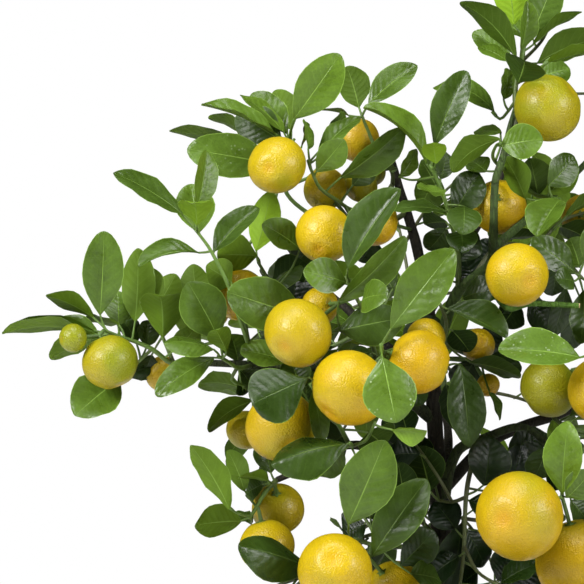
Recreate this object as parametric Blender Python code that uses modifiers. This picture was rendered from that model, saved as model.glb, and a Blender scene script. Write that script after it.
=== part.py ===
"""Potted calamondin tree: a clay pot, its soil, the branched wood, leafy sprays and bunches of fruit.

Metres, +Z up. The origin is the middle of the pot's foot, and the front of the tree faces -Y.
Leaves and fruits that show from the front are placed where the photograph has them; the rest of
the crown grows by rule from the limbs.
"""
import math
import random
from typing import NamedTuple

import bmesh
import bpy
from mathutils import Matrix, Vector
from mathutils.bvhtree import BVHTree

COLLECTION = "potted_calamondin_tree"
MM = 0.001
GAP = 0.0003

# How the photograph sees the tree: a level view along +Y, with the trunk at column 437
PHOTO_SIDE = 584
METRES_PER_PIXEL = 0.00052
TRUNK_COLUMN = 437
PHOTO_BOTTOM_HEIGHT = 0.300
VIEW_DISTANCE = 1.7
EYE = Vector(((PHOTO_SIDE / 2 - TRUNK_COLUMN) * METRES_PER_PIXEL, -VIEW_DISTANCE,
              PHOTO_BOTTOM_HEIGHT + PHOTO_SIDE / 2 * METRES_PER_PIXEL))

# The pot and its soil
POT_SIDES = 32
POT_HEIGHT = 0.165
POT_RIM_RADIUS = 0.100
POT_RIM_DEPTH = 0.028
POT_RIM_THICK = 0.0115
POT_RIM_ROUND = 0.004
POT_FOOT_RADIUS = 0.068
POT_WALL = 0.0065
POT_FLOOR = 0.009
POT_FLOOR_RADIUS = POT_FOOT_RADIUS - POT_WALL + 0.001
POT_INNER_RADIUS = POT_RIM_RADIUS - POT_RIM_THICK
POT_NECK_RADIUS = POT_RIM_RADIUS - 0.006
POT_CHAMFER = 0.002
SOIL_TOP = 0.150
SOIL_MOUND = 0.004
TRUNK_HOLE_RADIUS = 0.0094
TRUNK_HOLE_DEPTH = 0.040

# Leaves, stalks and fruits
BLADE_THICK = 0.0011
PETIOLE_RADIUS = 0.0005
PETIOLE_LENGTH = 0.006
BLADE_STATIONS = (0.27, 0.70)
OUTLINE_STATIONS = (0.13, 0.27, 0.42, 0.56, 0.70, 0.85)
FIRST_LEAF = 0.014
LEAF_SPACING = 0.0220
ROOT_INSET = 0.0016
STEM_CLEARANCE = 0.0024
LEAF_LENGTH = (0.036, 0.050)
LEAF_RATIO = (0.50, 0.58)
PHYLLOTAXIS = math.radians(137.5)
SIZE_TRIES = (1.0, 0.9, 0.78)
TURN_TRIES = (0, 0.35, -0.35, 0.8, -0.8, 1.3, -1.3)
DEPTH_TRIES = (0, -3, 3, -6, 6, -9, 9, -12, 12, -15, 15, -18, 18, -21, 21)
TWIST_TRIES = (0, 10, -10)
SHORTEST_PETIOLE = 0.0015
SHARPEST_BEND = -0.3
BLADE_SKEW = 1.08
BLADE_BLUNTNESS = 0.72
PETIOLE_LIFT = (0.006, 0.009)
LEAF_OPENING = (42, 62)
LEAF_CLOSING = 0.35
LEAF_RISE = 0.12
LEAF_DROOP = (0.0, 0.35)
LEAF_FACING_UP = 0.8
LEAF_FACING_OUT = 0.55
LEAF_SCATTER = 0.3
LEAF_FOLD = (8, 20)
LEAF_ARCH = (0.03, 0.10)
SIGHT_MARGIN = 0.002
FULL_DEPTH = 0.012
PHOTO_MARGIN = 6
STALK_RADIUS = 0.0011
STALK_MINIMUM = 0.005
STALK_DEPTH = 0.77
MERGED_POINTS = 0.000004
FLAT_ANGLE = math.radians(1.0)
FRUIT_SIDES = 8
FRUIT_RINGS = 5
FRUIT_FLATTENING = 0.93

TERRACOTTA = (0.47, 0.17, 0.08)
SOIL_BROWN = (0.055, 0.035, 0.022)
BARK_BROWN = (0.050, 0.042, 0.025)
LEAF_GREEN = (0.060, 0.160, 0.022)
FRUIT_ORANGE = (0.80, 0.50, 0.03)


class Leaf(NamedTuple):
    """One leaf as the photograph shows it.

    base and tip are the ends of its blade in pixels, and width is across the blade in pixels. turn is
    how far the upper face is turned from the eye in degrees (0 towards it, 90 edge on, 180 away), and
    it turns upwards, or to the right on an upright leaf. depth is how far the base lies behind the
    trunk in millimetres, and lean how much further the tip lies. fold lifts both halves, in degrees,
    and arch bows the midrib, as a share of the blade's length.
    """
    base: tuple
    tip: tuple
    width: float
    turn: float
    depth: float
    lean: float = 0
    fold: float = 14
    arch: float = 0.05


class Twig(NamedTuple):
    """One twig: its route as (column, row, depth in mm) and its radii at both ends in mm."""
    route: tuple
    thick: float = 1.3
    thin: float = 0.8


class Fruit(NamedTuple):
    """One fruit: its centre in pixels, its radius in pixels and its depth in mm."""
    centre: tuple
    radius: float
    depth: float


class Blade(NamedTuple):
    """One leaf in space: where its stalk leaves the twig, its blade's ends and its upper direction."""
    root: Vector
    base: Vector
    tip: Vector
    up: Vector
    width: float
    fold: float
    arch: float


def seen(column, row, depth):
    """The point that the photograph shows at a pixel, at a depth in mm behind the trunk."""
    y = depth * MM
    spread = (VIEW_DISTANCE + y) / VIEW_DISTANCE * METRES_PER_PIXEL
    return Vector((EYE.x + (column - PHOTO_SIDE / 2) * spread, y,
                   EYE.z - (row - PHOTO_SIDE / 2) * spread))


def pixel_of(point):
    """The pixel of the photograph that shows a point."""
    spread = (VIEW_DISTANCE + point.y) / VIEW_DISTANCE * METRES_PER_PIXEL
    return (PHOTO_SIDE / 2 + (point.x - EYE.x) / spread, PHOTO_SIDE / 2 - (point.z - EYE.z) / spread)


def at(x, y, z):
    """A point given in millimetres."""
    return Vector((x, y, z)) * MM


# The trunk and its limbs as (x, y, z) in mm with a radius at each end
LIMBS = {
    "trunk": (((0, 0, 112), (1, 0, 170), (-2, 1, 235), (3, 3, 300), (1, 5, 350), (-2, 5, 405),
               (-4, 7, 440), (-10, 10, 475), (-17, 14, 500), (-26, 20, 530)), 9.0, 1.8),
    "left": (((-1, 5, 385), (-32, -8, 408), (-58, -16, 413), (-88, -24, 414), (-105, -28, 415),
              (-124, -32, 416)), 3.6, 1.7),
    "lower_left": (((1, 4, 345), (-20, -8, 365), (-35, -22, 372), (-50, -32, 373), (-66, -36, 364),
                    (-83, -32, 356)), 3.2, 1.6),
    "leader": (((-2, 5, 410), (4, -2, 435), (11, -10, 453), (20, -20, 461), (26, -32, 467),
                (27, -38, 482), (28, -38, 508), (32, -34, 520), (36, -30, 536), (39, -28, 546)), 3.4, 1.4),
    "right": (((2, 4, 335), (10, 0, 368), (24, -6, 376), (44, -14, 382), (58, -30, 371),
               (66, -46, 366)), 3.2, 1.5),
    "right_back": (((0, 5, 345), (26, 16, 371), (46, 24, 381), (72, 34, 390), (100, 32, 418), (122, 26, 442)),
                   3.4, 1.8),
    "back": (((0, 4, 340), (8, 45, 372), (6, 90, 396)), 3.2, 1.8),
    "left_back": (((-2, 6, 400), (-34, 50, 432), (-66, 88, 462), (-88, 112, 492)), 2.8, 1.3),
    "high_back": (((-4, 8, 440), (14, 36, 470), (34, 60, 505), (46, 76, 540)), 2.4, 1.2),
    "low_front": (((2, 2, 262), (8, -30, 276), (14, -58, 280), (18, -78, 276)), 2.6, 1.4),
    "right_high": (((27, -34, 474), (58, -6, 500), (88, 8, 530), (108, 14, 556)), 2.2, 1.2),
    "pruned_stub": (((24, -26, 463), (33, -42, 444), (45, -52, 446), (69, -54, 445)), 1.7, 1.4),
}


PHOTO_SPRAYS = {
    "spray_far_left": (
        [Twig(((199, 365, -32), (174, 364, -34), (152, 349, -37), (136, 342, -38), (118, 336, -41),
               (104, 330, -45)), 1.6, 0.8),
         Twig(((152, 349, -37), (134, 366, -30), (116, 382, -30)), 1.0, 0.7),
         Twig(((174, 364, -34), (167, 347, -33), (160, 330, -30), (158, 318, -26)), 1.1, 0.8),
         Twig(((182, 364, -33), (194, 345, -24), (200, 318, -20)), 1.0, 0.7)],
        [Leaf((100, 316), (104, 231), 44, 8, -44, -6, 16, 0.03),
         Leaf((94, 318), (46, 295), 38, 122, -48, -8, 14, 0.06),
         Leaf((95, 335), (2, 334), 46, 98, -42, -4, 22, 0.09),
         Leaf((100, 337), (50, 359), 38, 124, -34, 10, 12, 0.05),
         Leaf((120, 325), (84, 322), 30, 110, -36, 14, 10, 0.05),
         Leaf((135, 322), (138, 248), 38, 160, -38, 6, 12, 0.05),
         Leaf((122, 324), (165, 286), 34, 128, -30, 10, 20, 0.08),
         Leaf((119, 380), (75, 416), 54, 24, -32, -14, 18, 0.04),
         Leaf((163, 338), (160, 296), 50, 172, -36, -22, 20, 0.16),
         Leaf((152, 314), (176, 274), 34, 160, -24, 6, 12, 0.05),
         Leaf((196, 300), (193, 264), 30, 178, -18, 8, 10, 0.05),
         Leaf((156, 304), (150, 268), 24, 150, -14, 8, 14, 0.05),
         Leaf((172, 352), (196, 326), 34, 40, -40, -6, 10, 0.06)]),
    "spray_left_middle": (
        [Twig(((252, 366, -25), (238, 368, -38), (227, 361, -46), (218, 356, -52)), 1.3, 0.9),
         Twig(((236, 367, -38), (232, 380, -34), (246, 386, -28)), 1.0, 0.7)],
        [Leaf((219, 340), (188, 282), 50, 10, -48, -4, 12, 0.06),
         Leaf((215, 350), (164, 343), 38, 58, -56, -6, -10, 0.08),
         Leaf((227, 352), (216, 330), 26, 176, -54, -14, 16, 0.12),
         Leaf((215, 357), (156, 396), 36, 32, -58, -8, 14, 0.07),
         Leaf((247, 391), (201, 383), 36, 122, -30, 6, 12, 0.10),
         Leaf((240, 396), (198, 387), 34, 118, -16, 8, 12, 0.12)]),
    "spray_left_shoot": (
        [Twig(((262, 366, -23), (252, 352, -44), (240, 320, -58), (228, 285, -62), (218, 264, -62),
               (208, 246, -61), (194, 228, -60)), 1.5, 0.8)],
        [Leaf((184, 216), (113, 173), 40, 52, -62, -8, 16, 0.05),
         Leaf((196, 212), (206, 150), 34, 40, -58, 6, 24, 0.04),
         Leaf((199, 233), (190, 184), 42, 12, -50, 8, 14, 0.05),
         Leaf((197, 226), (194, 203), 38, 172, -64, -26, 14, 0.14),
         Leaf((200, 253), (139, 267), 44, 64, -64, -6, 28, 0.11),
         Leaf((213, 253), (259, 208), 36, 36, -54, 8, 28, 0.05),
         Leaf((232, 282), (206, 266), 34, 168, -44, 12, 12, 0.05)]),
    "spray_round_leaf": (
        [Twig(((318, 369, -15), (308, 342, -34), (296, 310, -36), (272, 284, -34),
               (258, 262, -36)), 1.4, 0.8)],
        [Leaf((258, 256), (217, 255), 46, 150, -36, -2, 12, 0.05),
         Leaf((256, 252), (271, 191), 34, 172, -30, 4, 18, 0.08),
         Leaf((301, 250), (262, 224), 36, 30, -44, -6, 20, 0.06),
         Leaf((304, 318), (227, 292), 54, 8, -55, -17, 8, 0.05),
         Leaf((270, 290), (300, 262), 36, 30, -22, 6, 12, 0.05),
         Leaf((262, 275), (290, 300), 34, 150, -14, 6, 12, 0.05),
         Leaf((286, 362), (240, 351), 42, 52, -36, -4, 10, 0.05)]),
    "spray_upper_left": (
        [Twig(((402, 214, 13), (372, 232, -4), (342, 236, -24), (312, 216, -24), (287, 194, -20),
               (281, 165, -19), (290, 139, -22)), 1.5, 0.9)],
        [Leaf((240, 144), (169, 131), 36, 112, -8, 4, 12, 0.03),
         Leaf((277, 135), (201, 105), 38, 70, -28, -4, 30, 0.05),
         Leaf((285, 134), (240, 95), 30, 62, -18, 4, 14, 0.05),
         Leaf((288, 134), (252, 93), 36, 28, -12, 6, 12, 0.05),
         Leaf((292, 130), (275, 90), 34, 165, -4, 8, 12, 0.05),
         Leaf((280, 166), (187, 149), 46, 12, -16, -2, 10, 0.04),
         Leaf((293, 120), (340, 54), 45, 8, -30, -4, 12, 0.04),
         Leaf((252, 138), (208, 118), 34, 112, 2, 6, 12, 0.08),
         Leaf((300, 150), (305, 122), 24, 80, -26, -8, 12, 0.05)]),
    "spray_top_middle": (
        [Twig(((398, 178, 16), (372, 212, 8), (352, 210, -8), (338, 201, -26), (320, 188, -36),
               (312, 172, -40), (308, 160, -42)), 1.4, 0.8),
         Twig(((402, 192, 15), (392, 172, 10), (378, 153, 8), (366, 126, 6), (361, 113, 4)), 1.2, 0.8)],
        [Leaf((308, 150), (304, 120), 26, 70, -42, 8, 12, 0.05),
         Leaf((350, 116), (320, 110), 30, 96, 2, -6, 10, 0.05),
         Leaf((359, 108), (347, 66), 36, 160, 2, 4, 14, 0.05),
         Leaf((368, 105), (417, 65), 36, 34, 2, 4, 20, 0.05),
         Leaf((318, 158), (360, 118), 32, 52, -34, 6, 18, 0.08),
         Leaf((316, 172), (344, 139), 32, 18, -42, -4, 12, 0.05),
         Leaf((340, 178), (404, 127), 42, -34, -34, -4, 30, 0.05),
         Leaf((397, 168), (371, 174), 30, 104, 2, -4, 10, 0.05),
         Leaf((352, 186), (373, 160), 28, 20, -14, 8, 12, 0.05),
         Leaf((320, 150), (344, 112), 34, 58, -24, 10, 12, 0.05)]),
    "spray_centre_left": (
        [Twig(((380, 376, -7), (374, 350, -42), (366, 318, -58), (357, 299, -66), (350, 286, -68),
               (346, 276, -70)), 1.5, 0.9),
         Twig(((366, 318, -58), (350, 322, -58), (334, 331, -58), (328, 334, -57)), 1.0, 0.7)],
        [Leaf((347, 270), (401, 189), 58, -38, -74, -6, 34, 0.05),
         Leaf((338, 301), (405, 236), 42, -34, -80, -4, 28, 0.06),
         Leaf((347, 283), (303, 271), 38, 18, -66, -10, 12, 0.06),
         Leaf((393, 290), (376, 262), 30, 24, -46, -2, 14, 0.05),
         Leaf((362, 302), (389, 295), 36, 30, -62, -22, 10, 0.12),
         Leaf((338, 331), (405, 318), 46, 12, -62, 0, -8, 0.06),
         Leaf((372, 300), (394, 272), 30, 30, -42, 4, 10, 0.05),
         Leaf((357, 292), (372, 268), 26, 60, -52, 10, 12, 0.05)]),
    "spray_centre": (
        [Twig(((416, 393, 4), (396, 372, -42), (383, 356, -70), (381, 345, -92)), 1.5, 1.1)],
        [Leaf((390, 330), (454, 249), 50, -6, -94, -8, 14, 0.05),
         Leaf((382, 356), (396, 423), 56, 4, -116, -4, -8, 0.05),
         Leaf((404, 346), (438, 318), 36, 40, -50, 10, 12, 0.05),
         Leaf((372, 352), (336, 364), 34, 70, -46, 10, 12, 0.05),
         Leaf((400, 380), (424, 404), 30, 20, -44, -4, 12, 0.05)]),
    "spray_lower_left": (
        [Twig(((352, 440, -30), (338, 424, -58), (322, 402, -76), (310, 384, -84)), 1.4, 0.9),
         Twig(((352, 440, -30), (352, 446, -60), (350, 443, -84)), 1.2, 0.9),
         Twig(((338, 424, -58), (300, 398, -32), (262, 396, -24), (250, 400, -24)), 1.1, 0.8),
         Twig(((352, 446, -60), (366, 440, -76), (375, 422, -90)), 1.0, 0.8)],
        [Leaf((311, 377), (252, 404), 62, 14, -86, -6, -8, 0.04),
         Leaf((254, 400), (208, 431), 38, 126, -34, -8, 12, 0.10),
         Leaf((250, 424), (226, 458), 28, 150, -4, 2, 12, 0.05),
         Leaf((348, 444), (271, 465), 56, 34, -84, -4, -22, 0.08),
         Leaf((344, 450), (318, 476), 30, 20, -66, 12, 10, 0.05),
         Leaf((300, 388), (290, 360), 34, 20, -44, 8, 12, 0.05),
         Leaf((391, 430), (427, 431), 36, -48, -92, -4, 38, -0.05),
         Leaf((312, 388), (321, 443), 28, 40, -66, 0, 12, 0.04)]),
    "spray_hanging_left": (
        [Twig(((277, 480, -32), (266, 491, -39), (256, 508, -42), (249, 519, -44)), 1.4, 0.9)],
        [Leaf((230, 510), (191, 445), 40, 138, -52, -6, 14, 0.05),
         Leaf((245, 492), (228, 450), 28, 146, -40, 8, 14, 0.05),
         Leaf((269, 481), (240, 477), 32, 112, -42, -10, 12, 0.08),
         Leaf((264, 484), (246, 494), 26, 30, -30, 8, 12, 0.05),
         Leaf((242, 521), (195, 525), 46, 140, -52, -8, 12, 0.04),
         Leaf((252, 524), (236, 512), 20, 40, -38, 12, 12, 0.05),
         Leaf((271, 474), (262, 440), 30, 18, -22, 4, 12, 0.05)]),
    "spray_lower_front": (
        [Twig(((438, 540, 3), (408, 546, -24), (378, 546, -50), (354, 539, -62)), 1.6, 1.0),
         Twig(((378, 546, -50), (372, 530, -40), (362, 514, -34)), 1.1, 0.8),
         Twig(((408, 546, -24), (412, 566, -34), (420, 590, -40)), 1.0, 0.8),
         Twig(((354, 539, -62), (336, 552, -55), (318, 564, -55)), 1.0, 0.7)],
        [Leaf((312, 569), (238, 546), 54, 34, -57, -22, -20, 0.05),
         Leaf((348, 525), (385, 440), 58, 10, -86, -4, 12, 0.04),
         Leaf((371, 558), (427, 479), 48, -10, -90, -4, 14, 0.05),
         Leaf((374, 534), (396, 498), 34, 20, -42, 6, 12, 0.05),
         Leaf((346, 536), (330, 520), 24, 96, -60, 10, 12, 0.05),
         Leaf((400, 566), (434, 530), 40, 16, -52, 8, 12, 0.05),
         Leaf((404, 502), (398, 462), 34, 158, -30, 6, 12, 0.05),
         Leaf((410, 574), (440, 580), 36, 40, -52, 8, 12, 0.05)]),
    "spray_middle_shoot": (
        [Twig(((454, 291, -9), (458, 254, -22), (448, 210, -34), (439, 184, -38),
               (430, 164, -40)), 1.5, 0.9)],
        [Leaf((434, 147), (467, 71), 39, -20, -30, -4, 20, 0.05),
         Leaf((427, 165), (363, 108), 50, 68, -34, -2, 32, 0.12),
         Leaf((436, 164), (433, 143), 26, 168, -46, -12, 14, 0.10),
         Leaf((398, 178), (417, 150), 22, 40, -16, 8, 12, 0.05),
         Leaf((436, 172), (420, 208), 40, 150, -26, 6, 12, 0.05),
         Leaf((446, 190), (417, 187), 30, 68, -48, -12, 10, -0.10),
         Leaf((452, 214), (479, 172), 38, 12, -26, 8, 10, 0.05),
         Leaf((464, 206), (463, 235), 36, 6, -40, -18, 8, 0.10),
         Leaf((461, 230), (463, 253), 32, 4, -40, -18, 8, 0.10),
         Leaf((446, 212), (391, 211), 34, 66, -46, -4, 12, 0.08),
         Leaf((458, 262), (474, 230), 34, 30, -14, 8, 12, 0.05),
         Leaf((447, 228), (428, 250), 30, 20, -18, 8, 12, 0.05),
         Leaf((447, 222), (424, 224), 32, 130, -8, 10, 12, 0.05)]),
    "spray_leader_top": (
        [Twig(((516, 108, -28), (516, 84, -26), (522, 58, -22), (526, 36, -20), (530, 14, -18),
               (531, -8, -16)), 1.3, 0.8),
         Twig(((516, 84, -26), (532, 74, -36), (548, 62, -44)), 0.9, 0.7),
         Twig(((516, 100, -28), (506, 114, -20), (500, 119, -18), (492, 112, -14)), 0.9, 0.7)],
        [Leaf((516, 58), (460, 2), 40, 132, -30, -4, 14, 0.12),
         Leaf((512, 61), (473, 32), 32, 36, -24, 6, 12, 0.05),
         Leaf((508, 62), (478, 47), 28, 60, -34, 4, 12, 0.05),
         Leaf((514, 26), (508, -30), 38, 172, -16, -6, 12, 0.05),
         Leaf((521, 50), (527, 1), 28, 40, -30, -2, 30, 0.05),
         Leaf((530, 39), (556, -24), 36, 8, -18, 2, 12, 0.04),
         Leaf((533, 45), (582, 12), 32, 108, -22, -4, 14, 0.06),
         Leaf((536, 64), (604, 38), 40, 142, -20, 8, 14, 0.10),
         Leaf((544, 64), (606, 50), 34, 112, -34, -4, 14, 0.05),
         Leaf((518, 83), (524, 61), 46, 168, -34, -22, 14, 0.14),
         Leaf((526, 40), (500, 20), 32, 50, -8, 12, 12, 0.05),
         Leaf((495, 113), (433, 88), 36, 52, -10, 6, 12, 0.19),
         Leaf((503, 100), (507, 68), 28, 52, -24, 2, 20, 0.05)]),
    "spray_leader_middle": (
        [Twig(((496, 172, -37), (501, 168, -26), (514, 176, -14), (534, 194, -12), (546, 197, -18),
               (560, 199, -30)), 1.3, 0.9),
         Twig(((501, 168, -26), (493, 158, -34), (496, 146, -52), (501, 143, -60)), 1.0, 0.8)],
        [Leaf((502, 133), (474, 132), 30, 66, -26, 6, 10, 0.04),
         Leaf((500, 139), (452, 172), 38, 130, -46, -2, 14, 0.14),
         Leaf((500, 146), (543, 139), 38, 14, -60, -4, 10, 0.06),
         Leaf((526, 200), (505, 157), 36, 140, -24, 4, 14, 0.05),
         Leaf((486, 172), (470, 160), 30, 40, -20, 6, 12, 0.05),
         Leaf((560, 200), (537, 237), 48, -34, -42, -18, 32, 0.05),
         Leaf((538, 196), (530, 158), 38, 164, -12, 6, 12, 0.05),
         Leaf((548, 194), (578, 167), 36, 156, -20, 4, 16, 0.05),
         Leaf((548, 186), (574, 156), 34, 20, -4, 8, 12, 0.05)]),
    "spray_right_inner": (
        [Twig(((474, 291, -22), (500, 246, -8), (536, 250, -16), (566, 262, -34), (582, 278, -44)), 1.5, 0.9),
         Twig(((536, 250, -16), (560, 222, -4), (586, 212, 2)), 1.1, 0.8),
         Twig(((528, 249, -14), (524, 280, 6), (522, 300, 12)), 1.0, 0.8)],
        [Leaf((576, 274), (531, 239), 34, 24, -52, -6, 14, 0.05),
         Leaf((502, 240), (538, 236), 28, 112, -6, 2, 12, 0.05),
         Leaf((518, 302), (502, 326), 36, 150, 8, 4, 12, 0.05),
         Leaf((528, 300), (548, 330), 36, 30, 10, 4, 12, 0.05),
         Leaf((583, 290), (580, 344), 36, 30, -56, -6, 14, 0.05),
         Leaf((574, 282), (555, 279), 26, 30, -48, -10, 14, 0.08),
         Leaf((566, 216), (600, 196), 36, 110, -4, 4, 12, 0.05),
         Leaf((560, 226), (590, 240), 38, 130, 2, 4, 12, 0.05),
         Leaf((584, 262), (606, 224), 40, 20, -46, 2, 12, 0.05),
         Leaf((504, 244), (478, 262), 34, 20, -2, 6, 12, 0.05),
         Leaf((556, 262), (552, 296), 36, 30, -12, 6, 12, 0.05),
         Leaf((590, 284), (626, 292), 40, 60, -44, 4, 12, 0.08)]),
    "spray_right_centre": (
        [Twig(((437, 372, 5), (443, 345, -18), (446, 322, -34), (440, 304, -49)), 1.4, 0.9),
         Twig(((440, 358, -7), (445, 364, -36), (446, 372, -52)), 1.2, 0.9),
         Twig(((443, 345, -18), (460, 352, 2), (484, 362, 6)), 1.1, 0.8)],
        [Leaf((463, 298), (498, 292), 36, 26, -44, -10, 12, 0.12),
         Leaf((447, 309), (507, 338), 48, 48, -50, -4, 38, 0.05),
         Leaf((460, 363), (469, 447), 42, 16, -56, -6, 10, 0.06),
         Leaf((489, 392), (500, 420), 26, 70, -10, 4, 12, 0.05),
         Leaf((469, 362), (521, 377), 40, 116, -14, -4, 12, 0.05),
         Leaf((478, 350), (500, 326), 34, 30, 16, 8, 12, 0.05),
         Leaf((452, 330), (470, 352), 34, 150, -12, 8, 12, 0.05),
         Leaf((446, 384), (456, 430), 32, 150, -30, 4, 12, 0.05)]),
    "spray_right_lower": (
        [Twig(((565, 459, -46), (564, 472, -54), (562, 494, -66)), 1.4, 0.9),
         Twig(((564, 472, -54), (590, 440, -50), (598, 400, -40), (594, 358, -52),
                (587, 352, -74)), 1.2, 0.9)],
        [Leaf((581, 358), (498, 350), 52, 40, -86, -4, 22, 0.05),
         Leaf((562, 494), (568, 421), 44, -22, -76, -6, 22, 0.05),
         Leaf((556, 462), (552, 420), 26, 40, -62, 2, 18, 0.05),
         Leaf((566, 498), (592, 470), 40, 30, -78, -4, 12, 0.05),
         Leaf((570, 500), (588, 524), 36, 40, -56, 4, 12, 0.05),
         Leaf((548, 446), (534, 478), 34, 20, -36, 8, 12, 0.05),
         Leaf((598, 352), (624, 322), 42, 20, -80, 2, 12, 0.05)]),
    "spray_low_centre": (
        [Twig(((484, 437, -7), (472, 466, -18), (466, 497, -24), (464, 546, -26), (460, 584, -30),
               (452, 616, -34)), 1.5, 0.8),
         Twig(((466, 497, -24), (452, 502, -18), (436, 500, -14)), 1.1, 0.9),
         Twig(((464, 546, -26), (478, 572, -40), (500, 586, -52)), 1.0, 0.8),
         Twig(((452, 502, -18), (440, 480, -24), (424, 456, -22), (410, 438, -18)), 0.9, 0.7)],
        [Leaf((430, 492), (418, 446), 44, 160, -18, 4, 12, 0.05),
         Leaf((508, 490), (522, 444), 34, 24, -14, 4, 12, 0.05),
         Leaf((484, 486), (490, 437), 50, 24, -12, 6, 12, 0.05),
         Leaf((500, 584), (538, 564), 44, 56, -46, 2, 14, 0.05),
         Leaf((456, 530), (434, 502), 38, 20, -20, 6, 12, 0.05),
         Leaf((462, 522), (450, 586), 46, 20, -8, 4, 12, 0.05),
         Leaf((460, 556), (428, 580), 40, 40, -24, 4, 12, 0.05),
         Leaf((466, 530), (484, 566), 36, 30, -6, 6, 12, 0.05),
         Leaf((496, 590), (520, 616), 40, 30, -54, -4, 12, 0.05),
         Leaf((456, 596), (424, 612), 40, 60, -36, -2, 12, 0.08),
         Leaf((468, 500), (500, 520), 40, 40, -20, 4, 12, 0.05),
         Leaf((412, 441), (382, 420), 38, 150, -16, 6, 12, 0.05),
         Leaf((420, 454), (388, 456), 38, 30, -14, 6, 12, 0.05),
         Leaf((408, 436), (400, 408), 30, 160, -20, 6, 12, 0.05)]),
}

# Sprays that grow outside the photograph or behind what it shows: routes of their twigs in mm
GROWN_SPRAYS = {
    "spray_right": (((122, 26, 442), (134, 14, 446), (150, -14, 446), (168, -44, 436), (184, -74, 420)),
                    ((150, -14, 446), (152, -40, 468), (154, -62, 492)),
                    ((168, -44, 436), (192, -50, 448), (208, -56, 462)),
                    ((134, 14, 446), (154, 16, 470), (172, 10, 492), (192, 2, 508)),
                    ((154, 16, 470), (180, 26, 464), (206, 22, 456)),
                    ((172, 10, 492), (166, -16, 518), (160, -34, 540))),
    "spray_right_top": (((108, 14, 556), (116, 14, 568), (124, 12, 584), (130, 12, 602)),
                        ((116, 14, 568), (138, 26, 566), (162, 36, 560)),
                        ((119, 13, 574), (102, 44, 582), (92, 68, 588))),
    "spray_crown_top": (((46, 76, 540), (46, 77, 552), (44, 76, 572), (36, 70, 600)),
                        ((46, 77, 552), (72, 96, 560), (92, 112, 562)),
                        ((46, 76, 546), (56, 94, 520), (62, 98, 490)),
                        ((44, 76, 572), (62, 100, 590), (70, 118, 606))),
    "spray_back_right": (((82, 30, 418), (104, 70, 434), (120, 106, 448), (130, 134, 458)),
                         ((104, 70, 434), (136, 78, 426), (164, 84, 414)),
                         ((120, 106, 448), (104, 130, 478), (96, 142, 500))),
    "spray_back": (((6, 90, 396), (-4, 128, 424), (-8, 150, 450), (-12, 166, 478), (-18, 176, 504)),
                   ((-8, 150, 450), (22, 168, 452), (50, 178, 458)),
                   ((-9, 153, 455), (-38, 164, 444), (-64, 170, 432)),
                   ((-4, 128, 424), (22, 146, 398), (34, 156, 366)),
                   ((-1, 118, 417), (-32, 130, 394), (-54, 136, 364)),
                   ((22, 146, 398), (58, 140, 390), (84, 138, 372)),
                   ((-12, 166, 478), (0, 140, 498), (14, 118, 512))),
    "spray_left_back": (((-88, 112, 492), (-84, 122, 508), (-82, 132, 524), (-74, 140, 538)),
                        ((-85, 119, 502), (-98, 119, 480), (-112, 120, 465), (-124, 127, 452)),
                        ((-84, 122, 508), (-66, 134, 516), (-50, 142, 523))),
    "spray_left_low": (((-34, 50, 432), (-72, 66, 414), (-104, 76, 400)),
                       ((-72, 66, 414), (-92, 96, 424), (-104, 120, 420)),
                       ((-62, 62, 419), (-82, 40, 396), (-94, 24, 376))),
    "spray_low_front": (((18, -78, 276), (22, -86, 270), (30, -98, 252), (34, -102, 234)),
                        ((22, -86, 270), (-6, -94, 264), (-32, -96, 250)),
                        ((25, -91, 263), (50, -90, 266), (78, -84, 258))),
    "spray_low_right": (((62, 30, 386), (86, 4, 362), (122, -6, 334), (142, -10, 306)),
                        ((86, 4, 362), (106, -34, 346), (118, -62, 328)),
                        ((122, -6, 334), (140, 24, 322), (150, 50, 308))),
    "spray_low": (((-1, 4, 322), (-14, 30, 334), (-36, 52, 326), (-58, 64, 300)),
                  ((-14, 30, 334), (16, 62, 330), (40, 74, 292)),
                  ((16, 62, 330), (60, 70, 322), (100, 76, 302)),
                  ((-9, 20, 330), (-46, 14, 320), (-80, 14, 292)),
                  ((-38, 14, 322), (-54, -30, 312), (-62, -66, 290)),
                  ((-58, -30, 312), (-90, -22, 298), (-116, -24, 280))),
}

# Where the photograph shows foliage all over: circles as (column, row, radius) in pixels
FULL_PLACES = ((325, 190, 24), (290, 300, 42), (340, 260, 40), (320, 350, 50), (345, 330, 60),
               (300, 410, 38), (400, 310, 36), (410, 365, 34), (365, 400, 40), (470, 215, 36),
               (520, 215, 34), (555, 215, 34), (515, 275, 34), (565, 250, 22), (470, 330, 28),
               (455, 400, 26), (550, 375, 34), (590, 400, 40), (430, 470, 20), (400, 530, 32),
               (360, 570, 30), (440, 560, 18), (520, 515, 46), (560, 450, 24), (570, 560, 46),
               (495, 455, 26), (210, 310, 28), (190, 340, 24), (240, 330, 24), (548, 108, 32),
               (540, 170, 26))

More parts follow.
